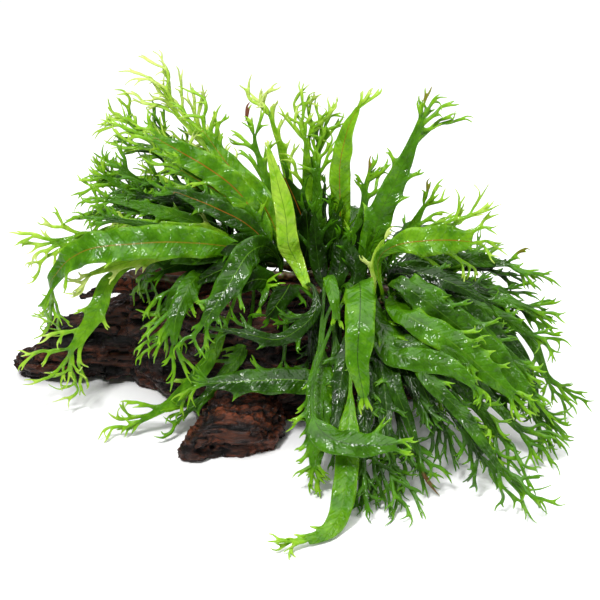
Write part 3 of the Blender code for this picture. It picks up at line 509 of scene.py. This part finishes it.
def leaf_material(name, wet_gloss_and_shade):
    """Living fern leaf: waxy skin under a film of water, and light glows through. The copy for the plant's
    inside has less gloss, as painted shade.
    """
    material, tree = new_material(name)
    place = node(tree, "TexCoord", out="Object")
    across, reach, lace, tone, rib, wilt = (
        node(tree, "Attribute", {"attribute_name": layer}, out="Fac")
        for layer in ("across", "reach", "lace", "tone", "rib", "wilt"))
    # Blotches about a centimetre wide, old tissue next to young
    blotch = node(tree, "TexNoise", {"Scale": scale_of(BLOTCH), "Detail": 3, "Roughness": 0.6},
                  {"Vector": place})
    side = node(tree, "Math", {"operation": "ABSOLUTE"}, {0: across})
    shade = node(tree, "Math", {"operation": "MULTIPLY_ADD", 1: 0.85, 2: -0.28}, {0: tone})
    for source, share in ((blotch, 0.6), (lace, 0.34)):
        shade = node(tree, "Math", {"operation": "MULTIPLY_ADD", 1: share}, {0: source, 2: shade})
    rim = node(tree, "Math", {"operation": "POWER", 1: 8}, {0: side})
    shade = node(tree, "Math", {"operation": "MULTIPLY_ADD", 1: 0.1, "use_clamp": True},
                 {0: rim, 2: shade})
    green = node(tree, "ValToRGB", {"stops": (
        (0, "#0b1a01"), (0.25, "#234802"), (0.5, "#498204"), (0.72, "#7eb416"), (0.88, "#abce42"),
        (1, "#cfe07c"))}, {0: shade})
    rib_green = node(tree, "ValToRGB", {"stops": (
        (0, "#143205"), (0.5, "#568418"), (1, "#9c5414"))}, {0: rib})
    # Thin midrib on the blade only
    on_blade = node(tree, "Math", {"operation": "SUBTRACT", 0: 1, "use_clamp": True}, {1: lace})
    ridge = node(tree, "Math", {"operation": "MULTIPLY_ADD", 1: -20, 2: 1.2, "use_clamp": True},
                 {0: side})
    ridge = node(tree, "Math", {"operation": "MULTIPLY"}, {0: ridge, 1: on_blade})
    # Side veins, slanting to the tip
    slant = node(tree, "Math", {"operation": "MULTIPLY", 1: math.pi / VEIN_GAP}, {0: reach})
    slant = node(tree, "Math", {"operation": "MULTIPLY_ADD", 1: -VEIN_SLANT}, {0: side, 2: slant})
    wave = node(tree, "Math", {"operation": "SINE"}, {0: slant})
    vein = node(tree, "Math", {"operation": "POWER", 1: 8}, {0: wave})
    vein = node(tree, "Math", {"operation": "MULTIPLY"}, {0: vein, 1: on_blade})
    faint = node(tree, "Math", {"operation": "MULTIPLY", 1: 0.12}, {0: vein})
    veined = node(tree, "Mix", {"data_type": "RGBA", 7: linear("#1a4c06")}, {0: faint, 6: green}, 2)
    ribbed = node(tree, "Mix", {"data_type": "RGBA"}, {0: ridge, 6: veined, 7: rib_green}, 2)
    colour = node(tree, "Mix", {"data_type": "RGBA", 7: linear("#7a4226")}, {0: wilt, 6: ribbed}, 2)
    # Quilting between the veins, and a broken film of water
    quilt = node(tree, "Math", {"operation": "MULTIPLY_ADD", 1: -0.14}, {0: vein, 2: blotch})
    film = node(tree, "TexNoise", {"Scale": scale_of(WATER_DROP), "Detail": 2, "Distortion": 0.4},
                {"Vector": place})
    swell = node(tree, "Math", {"operation": "MULTIPLY_ADD", 1: 0.8}, {0: film, 2: quilt})
    bump = node(tree, "Bump", {"Strength": 0.8, "Distance": MM}, {"Height": swell})
    rough = node(tree, "Math", {"operation": "MULTIPLY_ADD", 1: 0.5, 2: 0.15}, {0: blotch})
    # Less gloss from the specular level and coat on the shaded copy is painted shade.
    skin = node(tree, "BsdfPrincipled",
                {"IOR": WATER_IOR, "Specular IOR Level": 0.05 + 0.3 * wet_gloss_and_shade, "Coat Weight": wet_gloss_and_shade,
                 "Coat Roughness": 0.05, "Coat IOR": WATER_IOR},
                {"Base Color": colour, "Roughness": rough, "Normal": bump, "Coat Normal": bump})
    lit = node(tree, "HueSaturation", {"Saturation": 1.1, "Value": 1.4}, {"Color": colour})
    glow = node(tree, "BsdfTranslucent", links={"Color": lit, "Normal": bump})
    return surfaced(material, node(tree, "MixShader", {0: GLOW_SHARE}, {1: skin, 2: glow}))


def wood_material():
    """Waterlogged driftwood: dark tannin brown, redder where it crumbles, with a shine of water on its
    fibres. Painted shade darkens its hollows; its top on the left is redder and lighter, partly painted light
    from above.
    """
    material, tree = new_material("waterlogged_driftwood")
    place = node(tree, "TexCoord", out="Object")
    warm = node(tree, "Attribute", {"attribute_name": "warm"}, out="Fac")
    hollow = node(tree, "Attribute", {"attribute_name": "hollow"}, out="Fac")
    along = node(tree, "Mapping", {"Scale": (ALONG_GRAIN, 1, 1)}, {"Vector": place})
    fibre = node(tree, "TexNoise", {"Scale": scale_of(WOOD_FIBRE), "Detail": 4, "Roughness": 0.65},
                 {"Vector": along})
    patch = node(tree, "TexNoise", {"Scale": scale_of(WOOD_PATCH), "Detail": 3}, {"Vector": along})
    tone = node(tree, "Math", {"operation": "MULTIPLY_ADD", 1: 0.75, 2: -0.33}, {0: fibre})
    # Redder and lighter where the wood crumbles, its own colour, and on its left top, partly its colour and
    # partly painted light from above
    for source, share in ((patch, 0.55), (warm, 0.34)):
        tone = node(tree, "Math", {"operation": "MULTIPLY_ADD", 1: share}, {0: source, 2: tone})
    # Painted shade: darker in the fissures, splits, pits and recesses
    tone = node(tree, "Math", {"operation": "MULTIPLY_ADD", 1: -0.6, "use_clamp": True},
                {0: hollow, 2: tone})
    colour = node(tree, "ValToRGB", {"stops": (
        (0, "#050302"), (0.22, "#1b0c07"), (0.42, "#43200f"), (0.65, "#7a3d24"), (1, "#b06c46"))}, {0: tone})
    height = node(tree, "Math", {"operation": "MULTIPLY_ADD", 1: 0.8}, {0: patch, 2: fibre})
    bump = node(tree, "Bump", {"Strength": 1, "Distance": 1.2 * MM}, {"Height": height})
    rough = node(tree, "Math", {"operation": "MULTIPLY_ADD", 1: 0.5, 2: 0.2}, {0: patch})
    skin = node(tree, "BsdfPrincipled",
                {"IOR": WATER_IOR, "Specular IOR Level": 0.25, "Coat Weight": 0.35, "Coat Roughness": 0.06,
                 "Coat IOR": WATER_IOR},
                {"Base Color": colour, "Roughness": rough, "Normal": bump, "Coat Normal": bump})
    return surfaced(material, skin)


def rhizome_material():
    """Creeping rhizome: green-brown living stem under dark papery scales."""
    material, tree = new_material("scaly_rhizome")
    place = node(tree, "TexCoord", out="Object")
    scale = node(tree, "TexVoronoi", {"Scale": scale_of(RHIZOME_SCALE)}, {"Vector": place}, "Distance")
    patch = node(tree, "TexNoise", {"Scale": scale_of(RHIZOME_PATCH), "Detail": 3}, {"Vector": place})
    tone = node(tree, "Math", {"operation": "MULTIPLY_ADD", 1: 0.7}, {0: scale, 2: patch})
    colour = node(tree, "ValToRGB", {"stops": (
        (0.2, "#0e0804"), (0.65, "#2a190b"), (0.9, "#523614"), (1, "#415016"))}, {0: tone})
    bump = node(tree, "Bump", {"Strength": 0.7, "Distance": 0.6 * MM}, {"Height": tone})
    skin = node(tree, "BsdfPrincipled", {"Roughness": 0.45, "Coat Weight": 0.3, "Coat Roughness": 0.2},
                {"Base Color": colour, "Normal": bump})
    return surfaced(material, skin)


def root_material():
    """Hair roots: fine, dry, nearly black brown threads, lighter where they are young."""
    material, tree = new_material("fibrous_root")
    place = node(tree, "TexCoord", out="Object")
    patch = node(tree, "TexNoise", {"Scale": scale_of(ROOT_PATCH)}, {"Vector": place})
    colour = node(tree, "ValToRGB", {"stops": (
        (0.3, "#100805"), (0.6, "#2c190d"), (0.8, "#5a3b1c"))}, {0: patch})
    skin = node(tree, "BsdfPrincipled", {"Roughness": 0.6}, {"Base Color": colour})
    return surfaced(material, skin)


def floor_material():
    """Matt white studio board."""
    material, tree = new_material("matt_white_board")
    skin = node(tree, "BsdfPrincipled",
                {"Base Color": linear("#fbfbfb"), "Roughness": 0.8, "Specular IOR Level": 0.2})
    return surfaced(material, skin)


# Fronds

# An edge that lace can grow from, the way out of the blade there, the way up, the way on along the blade,
# and how far it is from the foot.
Rim = namedtuple("Rim", "edge outward normal onward reach")


class Leaf:
    """One mesh of leaf tissue and the values that its material reads."""

    def __init__(self, tone, rib, seed):
        self.bm = bmesh.new()
        values = self.bm.verts.layers.float
        self.layers = {name: values.new(name) for name in ("across", "reach", "lace", "tone", "rib", "wilt")}
        self.flesh = self.bm.verts.layers.deform.verify()
        self.random = random.Random(seed)
        self.tone, self.rib = tone, rib

    def mark(self, vert, across, reach, lace, wilt, flesh):
        """Gives a point the values for its material and its share of the thickness."""
        for name, value in (("across", across), ("reach", reach), ("lace", lace), ("tone", self.tone),
                            ("rib", self.rib), ("wilt", wilt)):
            vert[self.layers[name]] = value
        vert[self.flesh][0] = flesh

    def extrude(self, edges, verts, places):
        """Extrudes a row of edges and puts its new points, in the order of the old ones, at these places."""
        out = bmesh.ops.extrude_edge_only(self.bm, edges=edges)
        new = {item for item in out["geom"] if isinstance(item, bmesh.types.BMVert)}
        after = []
        for vert, place in zip(verts, places):
            twin = next(edge.other_vert(vert) for edge in vert.link_edges if edge.other_vert(vert) in new)
            twin.co = place
            after.append(twin)
        fresh = [next(edge for edge in a.link_edges if edge.other_vert(a) is b)
                 for a, b in zip(after, after[1:])]
        return fresh, after

    def lace(self, edge, aim, tip, normal, width, forks, reach, wilt):
        """A ribbon of lace from a rim edge to a tip. It throws side lobes on the way and ends in a point."""
        pick = self.random
        left, right = edge.verts
        middle = (left.co + right.co) / 2
        across = (right.co - left.co).normalized()
        length = (tip - middle).length
        stop = (1, *(pick.uniform(*span) for span in FORK_PLACES))[forks]
        steps = max(2, round(length * stop / LACE_STEP))
        bend = middle + aim * length * LACE_AIM
        bend += (normal + across) * pick.uniform(-LACE_BEND, LACE_BEND) * length
        verts = [left, right]
        last = middle
        onward = aim
        for step in range(1, steps + 1):
            t = stop * step / steps
            share = step / steps
            place = middle * (1 - t) ** 2 + bend * 2 * t * (1 - t) + tip * t ** 2
            place += (across + normal * 0.6) * LACE_SWAY * math.sin(step * 1.7 + reach) * (1 - share)
            place.z = max(place.z, FLOOR_CLEAR)
            onward = (place - last).normalized()
            sideways = normal.cross(onward).normalized()
            if sideways.dot(across) < 0:
                sideways = -sideways
            half = width * (0.5 - 0.12 * share + 0.07 * math.sin(step * 2.1 + reach))
            if forks:
                half *= 1 + WEB * max(0, share - 0.5) * 2
            else:
                half = max(LACE_POINT, half * (1 - share ** 1.6))
            ends = (place - sideways * half, place + sideways * half)
            (edge,), verts = self.extrude([edge], verts, ends)
            for vert in verts:
                self.mark(vert, 0.6, reach + length * t, LACE_PALE[forks] + 0.35 * share,
                          wilt if forks < 2 and share > 0.3 else 0, FLESH_LACE)
            across, last = sideways, place
        reach += length * stop
        if not forks:
            return
        halves = self.halved(edge, verts)
        lead = pick.choice((0, 1))
        left_over = tip - last
        for index, half_edge in enumerate(halves):
            side = -1 if index == 0 else 1
            if index == lead:
                self.lace(half_edge, (onward + across * side * 0.25).normalized(), tip, normal,
                          width * LACE_THINNING, forks - 1, reach, wilt)
                continue
            turn = side * pick.uniform(*FORK_TURNS)
            spread = Matrix.Rotation(turn, 3, across.cross(onward))
            spun = spread @ left_over
            if spun.dot(across) * side < left_over.dot(across) * side:
                spun = spread.inverted() @ left_over
            spun = spun + normal * pick.uniform(-LOBE_LIFT, LOBE_LIFT) * left_over.length
            spun *= pick.uniform(*LOBE_LENGTHS)
            tilt = Matrix.Rotation(pick.uniform(-LOBE_ROLL, LOBE_ROLL), 3, onward)
            self.lace(half_edge, (onward + across * side * 0.7).normalized(), last + spun, tilt @ normal,
                      width * LACE_THINNING * 0.9, min(forks - 1, int(spun.length > LOBE_FORKS)), reach, 0)

    def halved(self, edge, verts):
        """Splits an edge in two at its middle and returns the halves, the first one from verts[0]."""
        middle = bmesh.utils.edge_split(edge, verts[0], 0.5)[1]
        return [next(e for e in vert.link_edges if e.other_vert(vert) is middle) for vert in verts]


def stalk(rhizome, x, lean):
    """The first two points of a stalk, on its rhizome and straight away from it."""
    place = rhizome_at(rhizome, x)
    foot = place + lean * RHIZOME_THICK / 2 * 0.6
    return [foot, place + lean * (RHIZOME_THICK / 2 + STALK_RISE)]


RHIZOME_POINTS = {row: [vert.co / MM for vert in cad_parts["rhizome_" + row].data.vertices]
                  for row in RHIZOME_ROWS}


def rhizome_at(row, x):
    """The middle of a rhizome at this x."""
    near = sorted(RHIZOME_POINTS[row], key=lambda co: abs(co.x - x))[:RHIZOME_NEAR]
    low = Vector([min(co[i] for co in near) for i in range(3)])
    high = Vector([max(co[i] for co in near) for i in range(3)])
    return (low + high) / 2


def goals_of(way, tips):
    """The lace tips in the plant's own space: they carry on the slope of the blade's end."""
    across, rise, depth = way[-1]
    slope = (depth - way[-2][2]) / math.dist(way[-1][:2], way[-2][:2])
    slope = max(-TIP_SLOPE, min(TIP_SLOPE, slope))
    return [seen(*tip, depth + slope * math.dist(tip, (across, rise))) for tip in tips]


def grow(leaf, points, widest, stalk_share, goals, outline=BLADE_OUTLINE, wilt=0.0):
    """Grows one frond in a leaf mesh: its blade row by row, then its lace out of the rim."""
    length = sum((b - a).length for a, b in zip(points, points[1:]))
    count = max(8, round(length / ROW_STEP))
    shares = [step / count for step in range(count + 1)]
    route = smooth_route(points, shares)
    pick = leaf.random
    phase = pick.uniform(0, 6)
    rims = []
    verts = edges = None
    kept = None
    for share, before, place, after in zip(shares, route[:1] + route, route, route[1:] + route[-1:]):
        onward = (after - before).normalized()
        sideways = onward.cross(FRONT_FACING if place.y < CROWN_LINE else BACK_FACING)
        if sideways.length < 0.3:
            sideways = onward.cross(END_FACING)
        sideways.normalize()
        if kept and sideways.dot(kept) < 0:
            sideways = -sideways
        if kept:
            sideways = (sideways + kept * STEADINESS).normalized()
        normal = sideways.cross(onward)
        kept = sideways
        reach = max(0, (share - stalk_share) / (1 - stalk_share))
        on_stalk = share < stalk_share
        wave = length * share / RUFFLE_LENGTH * math.tau + phase
        half = max(STALK_WIDE, widest * share_at(outline, reach)) / 2
        if on_stalk:
            half = STALK_WIDE / 2
        along = length * share
        twist = BLADE_TWIST * noise.noise(Vector((along / TWIST_LENGTH, phase, 0)))
        level = sideways * math.cos(twist) + normal * math.sin(twist)
        upward = normal * math.cos(twist) - sideways * math.sin(twist)
        places, marks = [], []
        for column in BLADE_COLUMNS:
            edge_way = abs(column)
            jitter = 1
            for index, wide in enumerate(RIM_JITTER_LENGTHS):
                spot = Vector((along / wide, column * 9, phase + 5 * index))
                jitter += RIM_JITTER * noise.noise(spot) * edge_way
            lift = half * (BLADE_FOLD * edge_way - BLADE_FOLD + BLADE_CAMBER * math.sin(math.pi * edge_way))
            if not on_stalk:
                ruffle = math.sin(wave + (RUFFLE_LAG if column > 0 else 0)) * edge_way ** 2
                dimple = noise.noise(Vector((along / DIMPLE_LENGTH, column * 2, phase + 9)))
                lift += ruffle * RUFFLE_DEPTH * half * 2 + DIMPLE * dimple * edge_way
            spot = place + level * half * column * jitter + upward * lift
            spot.z = max(spot.z, FLOOR_CLEAR)
            places.append(spot)
            flesh = FLESH_STALK if on_stalk else FLESH_RIB if column == 0 else FLESH_BLADE
            marks.append((column, length * share, 0, 0, flesh))
        if verts is None:
            verts = [leaf.bm.verts.new(spot) for spot in places]
            edges = [leaf.bm.edges.new(pair) for pair in zip(verts, verts[1:])]
        else:
            old = verts
            edges, verts = leaf.extrude(edges, verts, places)
            if reach > LACE_FROM:
                for spread, column in ((END_SPREADS[0], 0), (END_SPREADS[-1], -1)):
                    foot, end = old[column], verts[column]
                    edge = next(e for e in foot.link_edges if e.other_vert(foot) is end)
                    rims.append(Rim(edge, sideways * spread, normal, onward, length * share))
        for vert, values in zip(verts, marks):
            leaf.mark(vert, *values)
    rims += [Rim(edge, sideways * spread, normal, onward, length)
             for spread, edge in zip(END_SPREADS, edges)]
    for goal in sorted(goals, key=lambda goal: -(goal - points[-1]).length):
        ranked = []
        for rim in rims:
            gap = goal - (rim.edge.verts[0].co + rim.edge.verts[1].co) / 2
            wanted = (rim.onward + rim.outward).normalized()
            aim = gap.normalized()
            cost = gap.length - AIM_WEIGHT * aim.dot(wanted)
            ranked.append((cost, rim, (aim + wanted).normalized(), gap.length))
        _, rim, start, gap = min(ranked, key=lambda entry: entry[0])
        order = 1 + sum(gap > reach for reach in FORK_REACHES)
        leaf.lace(rim.edge, start, goal, rim.normal, LACE_WIDE, order, rim.reach,
                  wilt if goal is goals[0] else 0)
        rims = [other for other in rims if other is not rim]
    return rims


def fringe(leaf, rims, share):
    """Short side lobes of lace along the rest of a frond's rim."""
    pick = leaf.random
    for edge, outward, normal, onward, reach in rims:
        if pick.random() > share:
            continue
        aim = (onward * pick.uniform(0.6, 1.1) + outward.normalized()).normalized()
        middle = (edge.verts[0].co + edge.verts[1].co) / 2
        size = pick.uniform(*FRINGE_SIZES)
        tip = middle + (aim + normal * pick.uniform(-0.3, 0.3)) * size
        leaf.lace(edge, aim, tip, normal, LACE_WIDE * 0.8, int(size >= FRINGE_FORKS), reach, 0)


def finished(name, bm, material, *nodes):
    """A piece of leaf tissue, rounded off and given its thickness."""
    bmesh.ops.recalc_face_normals(bm, faces=bm.faces)
    thing = piece(name, bm, material, "frond", *nodes)
    thing.vertex_groups.new(name="flesh")
    round_off = thing.modifiers.new("round_off", "SUBSURF")
    round_off.levels = round_off.render_levels = 1
    flesh = thing.modifiers.new("flesh", "SOLIDIFY")
    flesh.thickness = FLESH * MM
    flesh.offset = 0
    flesh.vertex_group = "flesh"
    flesh.use_quality_normals = True
    return thing


def base_and_way(row, x, way):
    """All points that a frond runs through, from its rhizome on."""
    return stalk(row, x, STALK_LEAN[row]) + [seen(*stop) for stop in way]


def fronds(material):
    """The fronds that the frame knows, each in place of its node."""
    for number, (name, tone, rib, row, x, widest, stalk_share, way, tips) in enumerate(FRONDS):
        leaf = Leaf(tone, rib, number)
        rims = grow(leaf, base_and_way(row, x, way), widest, STALK_SHARES.get(name, stalk_share),
                    goals_of(way, tips), OUTLINES.get(name, BLADE_OUTLINE), WILTED.get(name, 0))
        fringe(leaf, rims, FRINGES.get(name, FRINGE_SHARE))
        finished("leaf_" + name, leaf.bm, material, "frond_" + name)


def clear_of(surface, place):
    """The place, brought out of the wood where it is in it or too near."""
    spot, normal = surface.find_nearest(place)[:2]
    if (place - spot).dot(normal) < WOOD_CLEAR:
        return spot + normal * WOOD_CLEAR
    return place


def companion(leaf, surface, row, x, widest, stalk_share, way, tips):
    """A frond of the understory: one like its neighbour, but smaller and turned a little about its foot."""
    pick = leaf.random
    old = stalk(row, x, STALK_LEAN[row])
    new = stalk(row, x + pick.uniform(-COMPANION_SHIFT, COMPANION_SHIFT), STALK_LEAN[row])
    spin = Matrix.Rotation(math.radians(pick.uniform(-COMPANION_TURN, COMPANION_TURN)), 3, "Z")
    spin = spin @ Matrix.Rotation(math.radians(pick.uniform(*COMPANION_TILT)), 3, "X")
    size = pick.uniform(*COMPANION_SIZE)
    points = new + [clear_of(surface, new[0] + spin @ (seen(*stop) - old[0]) * size) for stop in way]
    goals = []
    for goal in goals_of(way, tips):
        goal = clear_of(surface, new[0] + spin @ (goal - old[0]) * size)
        goals.append(Vector((goal.x, goal.y, max(goal.z, FLOOR_CLEAR))))
    rims = grow(leaf, points, widest * pick.uniform(*COMPANION_SIZE), stalk_share, goals)
    fringe(leaf, rims, INNER_FRINGE)


def understory(material, shaded, surface):
    """The fronds inside the plant, gathered in one piece for each side of it."""
    groups = {}
    for number, (group, tone, rib, *frond) in enumerate(INNER_FRONDS, INNER_SEED):
        row, x, widest, stalk_share, way, tips = frond
        leaf = Leaf(tone, rib, number)
        points = [clear_of(surface, place) for place in base_and_way(row, x, way)]
        rims = grow(leaf, points, widest, stalk_share, goals_of(way, tips))
        fringe(leaf, rims, INNER_FRINGE)
        groups.setdefault(group, []).append(leaf.bm)
    for number, (name, tone, rib, *frond) in enumerate(FRONDS):
        group = name.split("_")[0]
        for turn in range(COMPANIONS.get(name, COMPANIONS.get(group, 1))):
            leaf = Leaf(tone, rib, COMPANION_SEED + number * 10 + turn)
            leaf.tone = max(0, tone - leaf.random.uniform(0, 0.3))
            companion(leaf, surface, *frond)
            groups.setdefault(group, []).append(leaf.bm)
    for group, meshes in groups.items():
        joined = meshes[0]
        for other in meshes[1:]:
            part = bpy.data.meshes.new("part")
            other.to_mesh(part)
            other.free()
            joined.from_mesh(part)
            bpy.data.meshes.remove(part)
        # The deep group gets the duller shaded copy: painted shade.
        finished("understory_" + group, joined, shaded if group == "deep" else material)


# Driftwood

def merged(names, grit, swell=0.0, smoothing=0):
    """These CAD nodes as one closed mesh in mm with points this far apart, for a piece in their place."""
    bm = bmesh.new()
    for name in names:
        bm.from_mesh(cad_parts[name].data)
    bmesh.ops.remove_doubles(bm, verts=bm.verts, dist=0.01 * MM)
    bm.normal_update()
    for vert in bm.verts:
        vert.co += vert.normal * swell * MM
    blank = placed("blank", bm)
    merge = blank.modifiers.new("merge", "REMESH")
    merge.mode = "VOXEL"
    merge.voxel_size = grit * MM
    blank.modifiers.new("smoothing", "SMOOTH").iterations = smoothing
    graph = bpy.context.evaluated_depsgraph_get()
    whole = bpy.data.meshes.new_from_object(blank.evaluated_get(graph))
    bpy.data.objects.remove(blank)
    bm = bmesh.new()
    bm.from_mesh(whole)
    bmesh.ops.scale(bm, vec=(1 / MM, 1 / MM, 1 / MM), verts=bm.verts)
    bm.normal_update()
    return bm


def driftwood(material):
    """The wood as one grown piece: the solids merged, then weathered along the grain."""
    bm = merged(WOOD_NODES, WOOD_GRIT, WOOD_SWELL, 2)
    warm = bm.verts.layers.float.new("warm")
    hollow = bm.verts.layers.float.new("hollow")
    # Each point's red, partly painted light on the left top, and its painted shade in the hollows
    moved = [weathered(vert.co, vert.normal) for vert in bm.verts]
    for vert, (place, redness_and_top_light, depth) in zip(bm.verts, moved):
        vert.co = place
        vert[warm] = redness_and_top_light
        vert[hollow] = depth
    return piece("driftwood", bm, material, "driftwood", *WOOD_NODES)


def inside(place, middle, reach):
    """Close to 1 in a rounded box about this middle, and 0 well outside it."""
    return math.exp(-sum(((a - b) / c) ** 4 for a, b, c in zip(place, middle, reach)))


def weathered(place, normal):
    """A point of the wood moved by lumps, ledges, fissures and fibres, with how red it is (on its left top
    partly painted light) and how much painted shade darkens its hollows.

    Each pattern is given its size in mm along X, Y and Z, and is longest along the grain, X.
    """
    x, y, z = place
    block = inside(place, *CRUMBLY)
    lit_red_top = inside(place, *RED_TOP_IN_LIGHT)
    drift = noise.noise(Vector((x / 45, y / 30, z / 30)))
    lump = LUMP * noise.noise(Vector((x / 17, y / 9, z / 8)))
    ledge = ((z + 0.12 * x) / LEDGE_RISE + 1.3 * drift) % 1
    ledge = (ledge - 0.45) * LEDGE_DEPTH * (1 - abs(normal.z)) * (1 - block)
    fissure = abs(noise.noise(Vector((x / 42 + 3, y / 6.5, z / 5.2 + drift))))
    fissure = max(0, 1 - fissure / 0.1)
    split = abs(noise.noise(Vector((x / 22, y / 3.2, z / 2.6 + 5))))
    split = max(0, 1 - split / 0.16)
    fibre = 0.5 * noise.noise(Vector((x / 11, y / 1.6, z / 1.4)))
    crumb = noise.voronoi(Vector((x / 5.5, y / 4.5, z / 3.8)))[0]
    pit = max(0, 1 - (crumb[1] - crumb[0]) / 0.22)
    grain = noise.noise(Vector((x / 2.6, y / 2, z / 2)))
    # Recesses under the ledges of the front side, pressed in and darkened with painted shade
    recess = 0
    if normal.y < 0.2:
        recess = max(math.exp(-((x - middle) / long) ** 4 - ((z - high) / tall) ** 2)
                     for middle, long, high, tall in RECESSES)
    depth = FISSURE_DEPTH * fissure + SPLIT_DEPTH * split + RECESS_DEPTH * recess
    out = lump + ledge + fibre - depth * (1 - 0.6 * block)
    out += block * (0.6 * crumb[0] + CRUMB * (grain - pit))
    moved = place + normal * out
    moved.z = max(0, moved.z) if z < 3 else max(0.2, moved.z)
    # Red where the wood crumbles; on the left top the red is partly painted light from above
    redness_and_top_light = max(block * 0.7, lit_red_top * 0.8) + 0.3 * max(0, drift)
    # The last value is painted shade for the hollows: fissures, splits, crumbly pits and recesses
    return moved, redness_and_top_light, min(1, fissure + 0.4 * split + 0.7 * pit * block + 0.8 * recess)


# Rhizomes and roots

def rhizomes(material):
    """The creeping stems, knotty and covered in scales."""
    for row in RHIZOME_ROWS:
        name = "rhizome_" + row
        bm = merged([name], RHIZOME_GRIT)
        moves = []
        for vert in bm.verts:
            x, y, z = vert.co
            knot = RHIZOME_KNOT * noise.noise(Vector((x / 6, y / 5, z / 5)))
            scale = noise.voronoi(Vector((x / 2.4, y / 2, z / 2)))[0][0]
            moved = vert.co + vert.normal * (knot + RHIZOME_SCALY * scale - 0.3)
            moves.append(moved - Vector((0, 0, RHIZOME_SUNK)))
        for vert, move in zip(bm.verts, moves):
            vert.co = move
        piece("creeping_" + name, bm, material, "rhizome", name)


def thread(bm, route, thick):
    """A four-sided thread along a route, thinning to its end."""
    onward = (route[1] - route[0]).normalized()
    turn = onward.to_track_quat("Z", "Y").to_matrix().to_4x4()
    out = bmesh.ops.create_circle(bm, cap_ends=True, segments=4, radius=thick / 2,
                                  matrix=Matrix.Translation(route[0]) @ turn)
    face = next(f for f in out["verts"][0].link_faces)
    for index, (before, place) in enumerate(zip(route, route[1:]), 1):
        inner = face
        geom = bmesh.ops.extrude_face_region(bm, geom=[face])["geom"]
        face = next(item for item in geom if isinstance(item, bmesh.types.BMFace))
        if index > 1:
            bmesh.ops.delete(bm, geom=[inner], context="FACES_ONLY")
        verts = list(face.verts)
        bmesh.ops.translate(bm, vec=place - before, verts=verts)
        shrink = 1 - 0.75 / len(route)
        bmesh.ops.scale(bm, vec=(shrink, shrink, shrink), space=Matrix.Translation(-place), verts=verts)


def roots(material, surface):
    """Hair roots that run from the rhizomes down over the wood."""
    pick = random.Random(ROOT_SEED)
    bm = bmesh.new()
    for row, first, last, side in ROOT_BEDS:
        for count in range(ROOTS_A_BED):
            place = rhizome_at(row, pick.uniform(first, last))
            place.z -= 1
            heading = Vector((pick.uniform(-0.9, 0.9), side * pick.uniform(0.4, 1), -0.3)).normalized()
            route = [place.copy()]
            for step in range(pick.randint(*ROOT_STEPS)):
                wander = Vector([pick.uniform(-ROOT_WANDER, ROOT_WANDER) for _ in range(3)])
                heading = (heading + wander + ROOT_FALL).normalized()
                place = place + heading * ROOT_STEP
                spot, normal = surface.find_nearest(place)[:2]
                if (spot - place).length < ROOT_HOLD:
                    place = spot + normal * ROOT_LIFT
                place.z = max(place.z, 0.3)
                route.append(place.copy())
            thread(bm, route, pick.uniform(*ROOT_THICK))
    bmesh.ops.recalc_face_normals(bm, faces=bm.faces)
    piece("hair_roots", bm, material, "rhizome")


# Studio

def studio():
    """Pale board, soft lights and the camera at the photo's angle."""
    bm = bmesh.new()
    bmesh.ops.create_grid(bm, x_segments=1, y_segments=1, size=BOARD_SIZE)
    bmesh.ops.scale(bm, vec=(MM, MM, MM), verts=bm.verts)
    floor = placed("studio_floor", bm, floor_material())
    world = bpy.data.worlds.new("studio_air")
    scene.world = world
    world.use_nodes = True
    air = world.node_tree.nodes["Background"].inputs
    air["Color"].default_value = (1, 1, 1, 1)
    air["Strength"].default_value = AIR_STRENGTH
    for name, place, size, power in LIGHTS:
        light = bpy.data.lights.new(name, "AREA")
        light.shape = "DISK"
        light.size = size
        light.energy = power
        lamp = bpy.data.objects.new(name, light)
        lamp.location = place
        lamp.rotation_euler = (SIGHT_CENTRE * MM - Vector(place)).to_track_quat("-Z", "Y").to_euler()
        scene.collection.objects.link(lamp)
    eye = bpy.data.cameras.new("eye")
    eye.lens = LENS
    eye.sensor_width = SENSOR
    camera = bpy.data.objects.new("camera", eye)
    back = Vector((0, -math.cos(SIGHT_PITCH), math.sin(SIGHT_PITCH)))
    camera.location = (SIGHT_CENTRE + back * SIGHT_DISTANCE) * MM
    camera.rotation_euler = (math.radians(90) - SIGHT_PITCH, 0, 0)
    scene.collection.objects.link(camera)
    scene.camera = camera
    scene.view_settings.view_transform = "Standard"


studio()
wood = driftwood(wood_material())
wood_surface = BVHTree.FromPolygons([vert.co / MM for vert in wood.data.vertices],
                                    [tuple(face.vertices) for face in wood.data.polygons])
rhizomes(rhizome_material())
roots(root_material(), wood_surface)
leaf_look = leaf_material("living_fern_leaf", 0.8)
fronds(leaf_look)
understory(leaf_look, leaf_material("shaded_fern_leaf", 0.15), wood_surface)
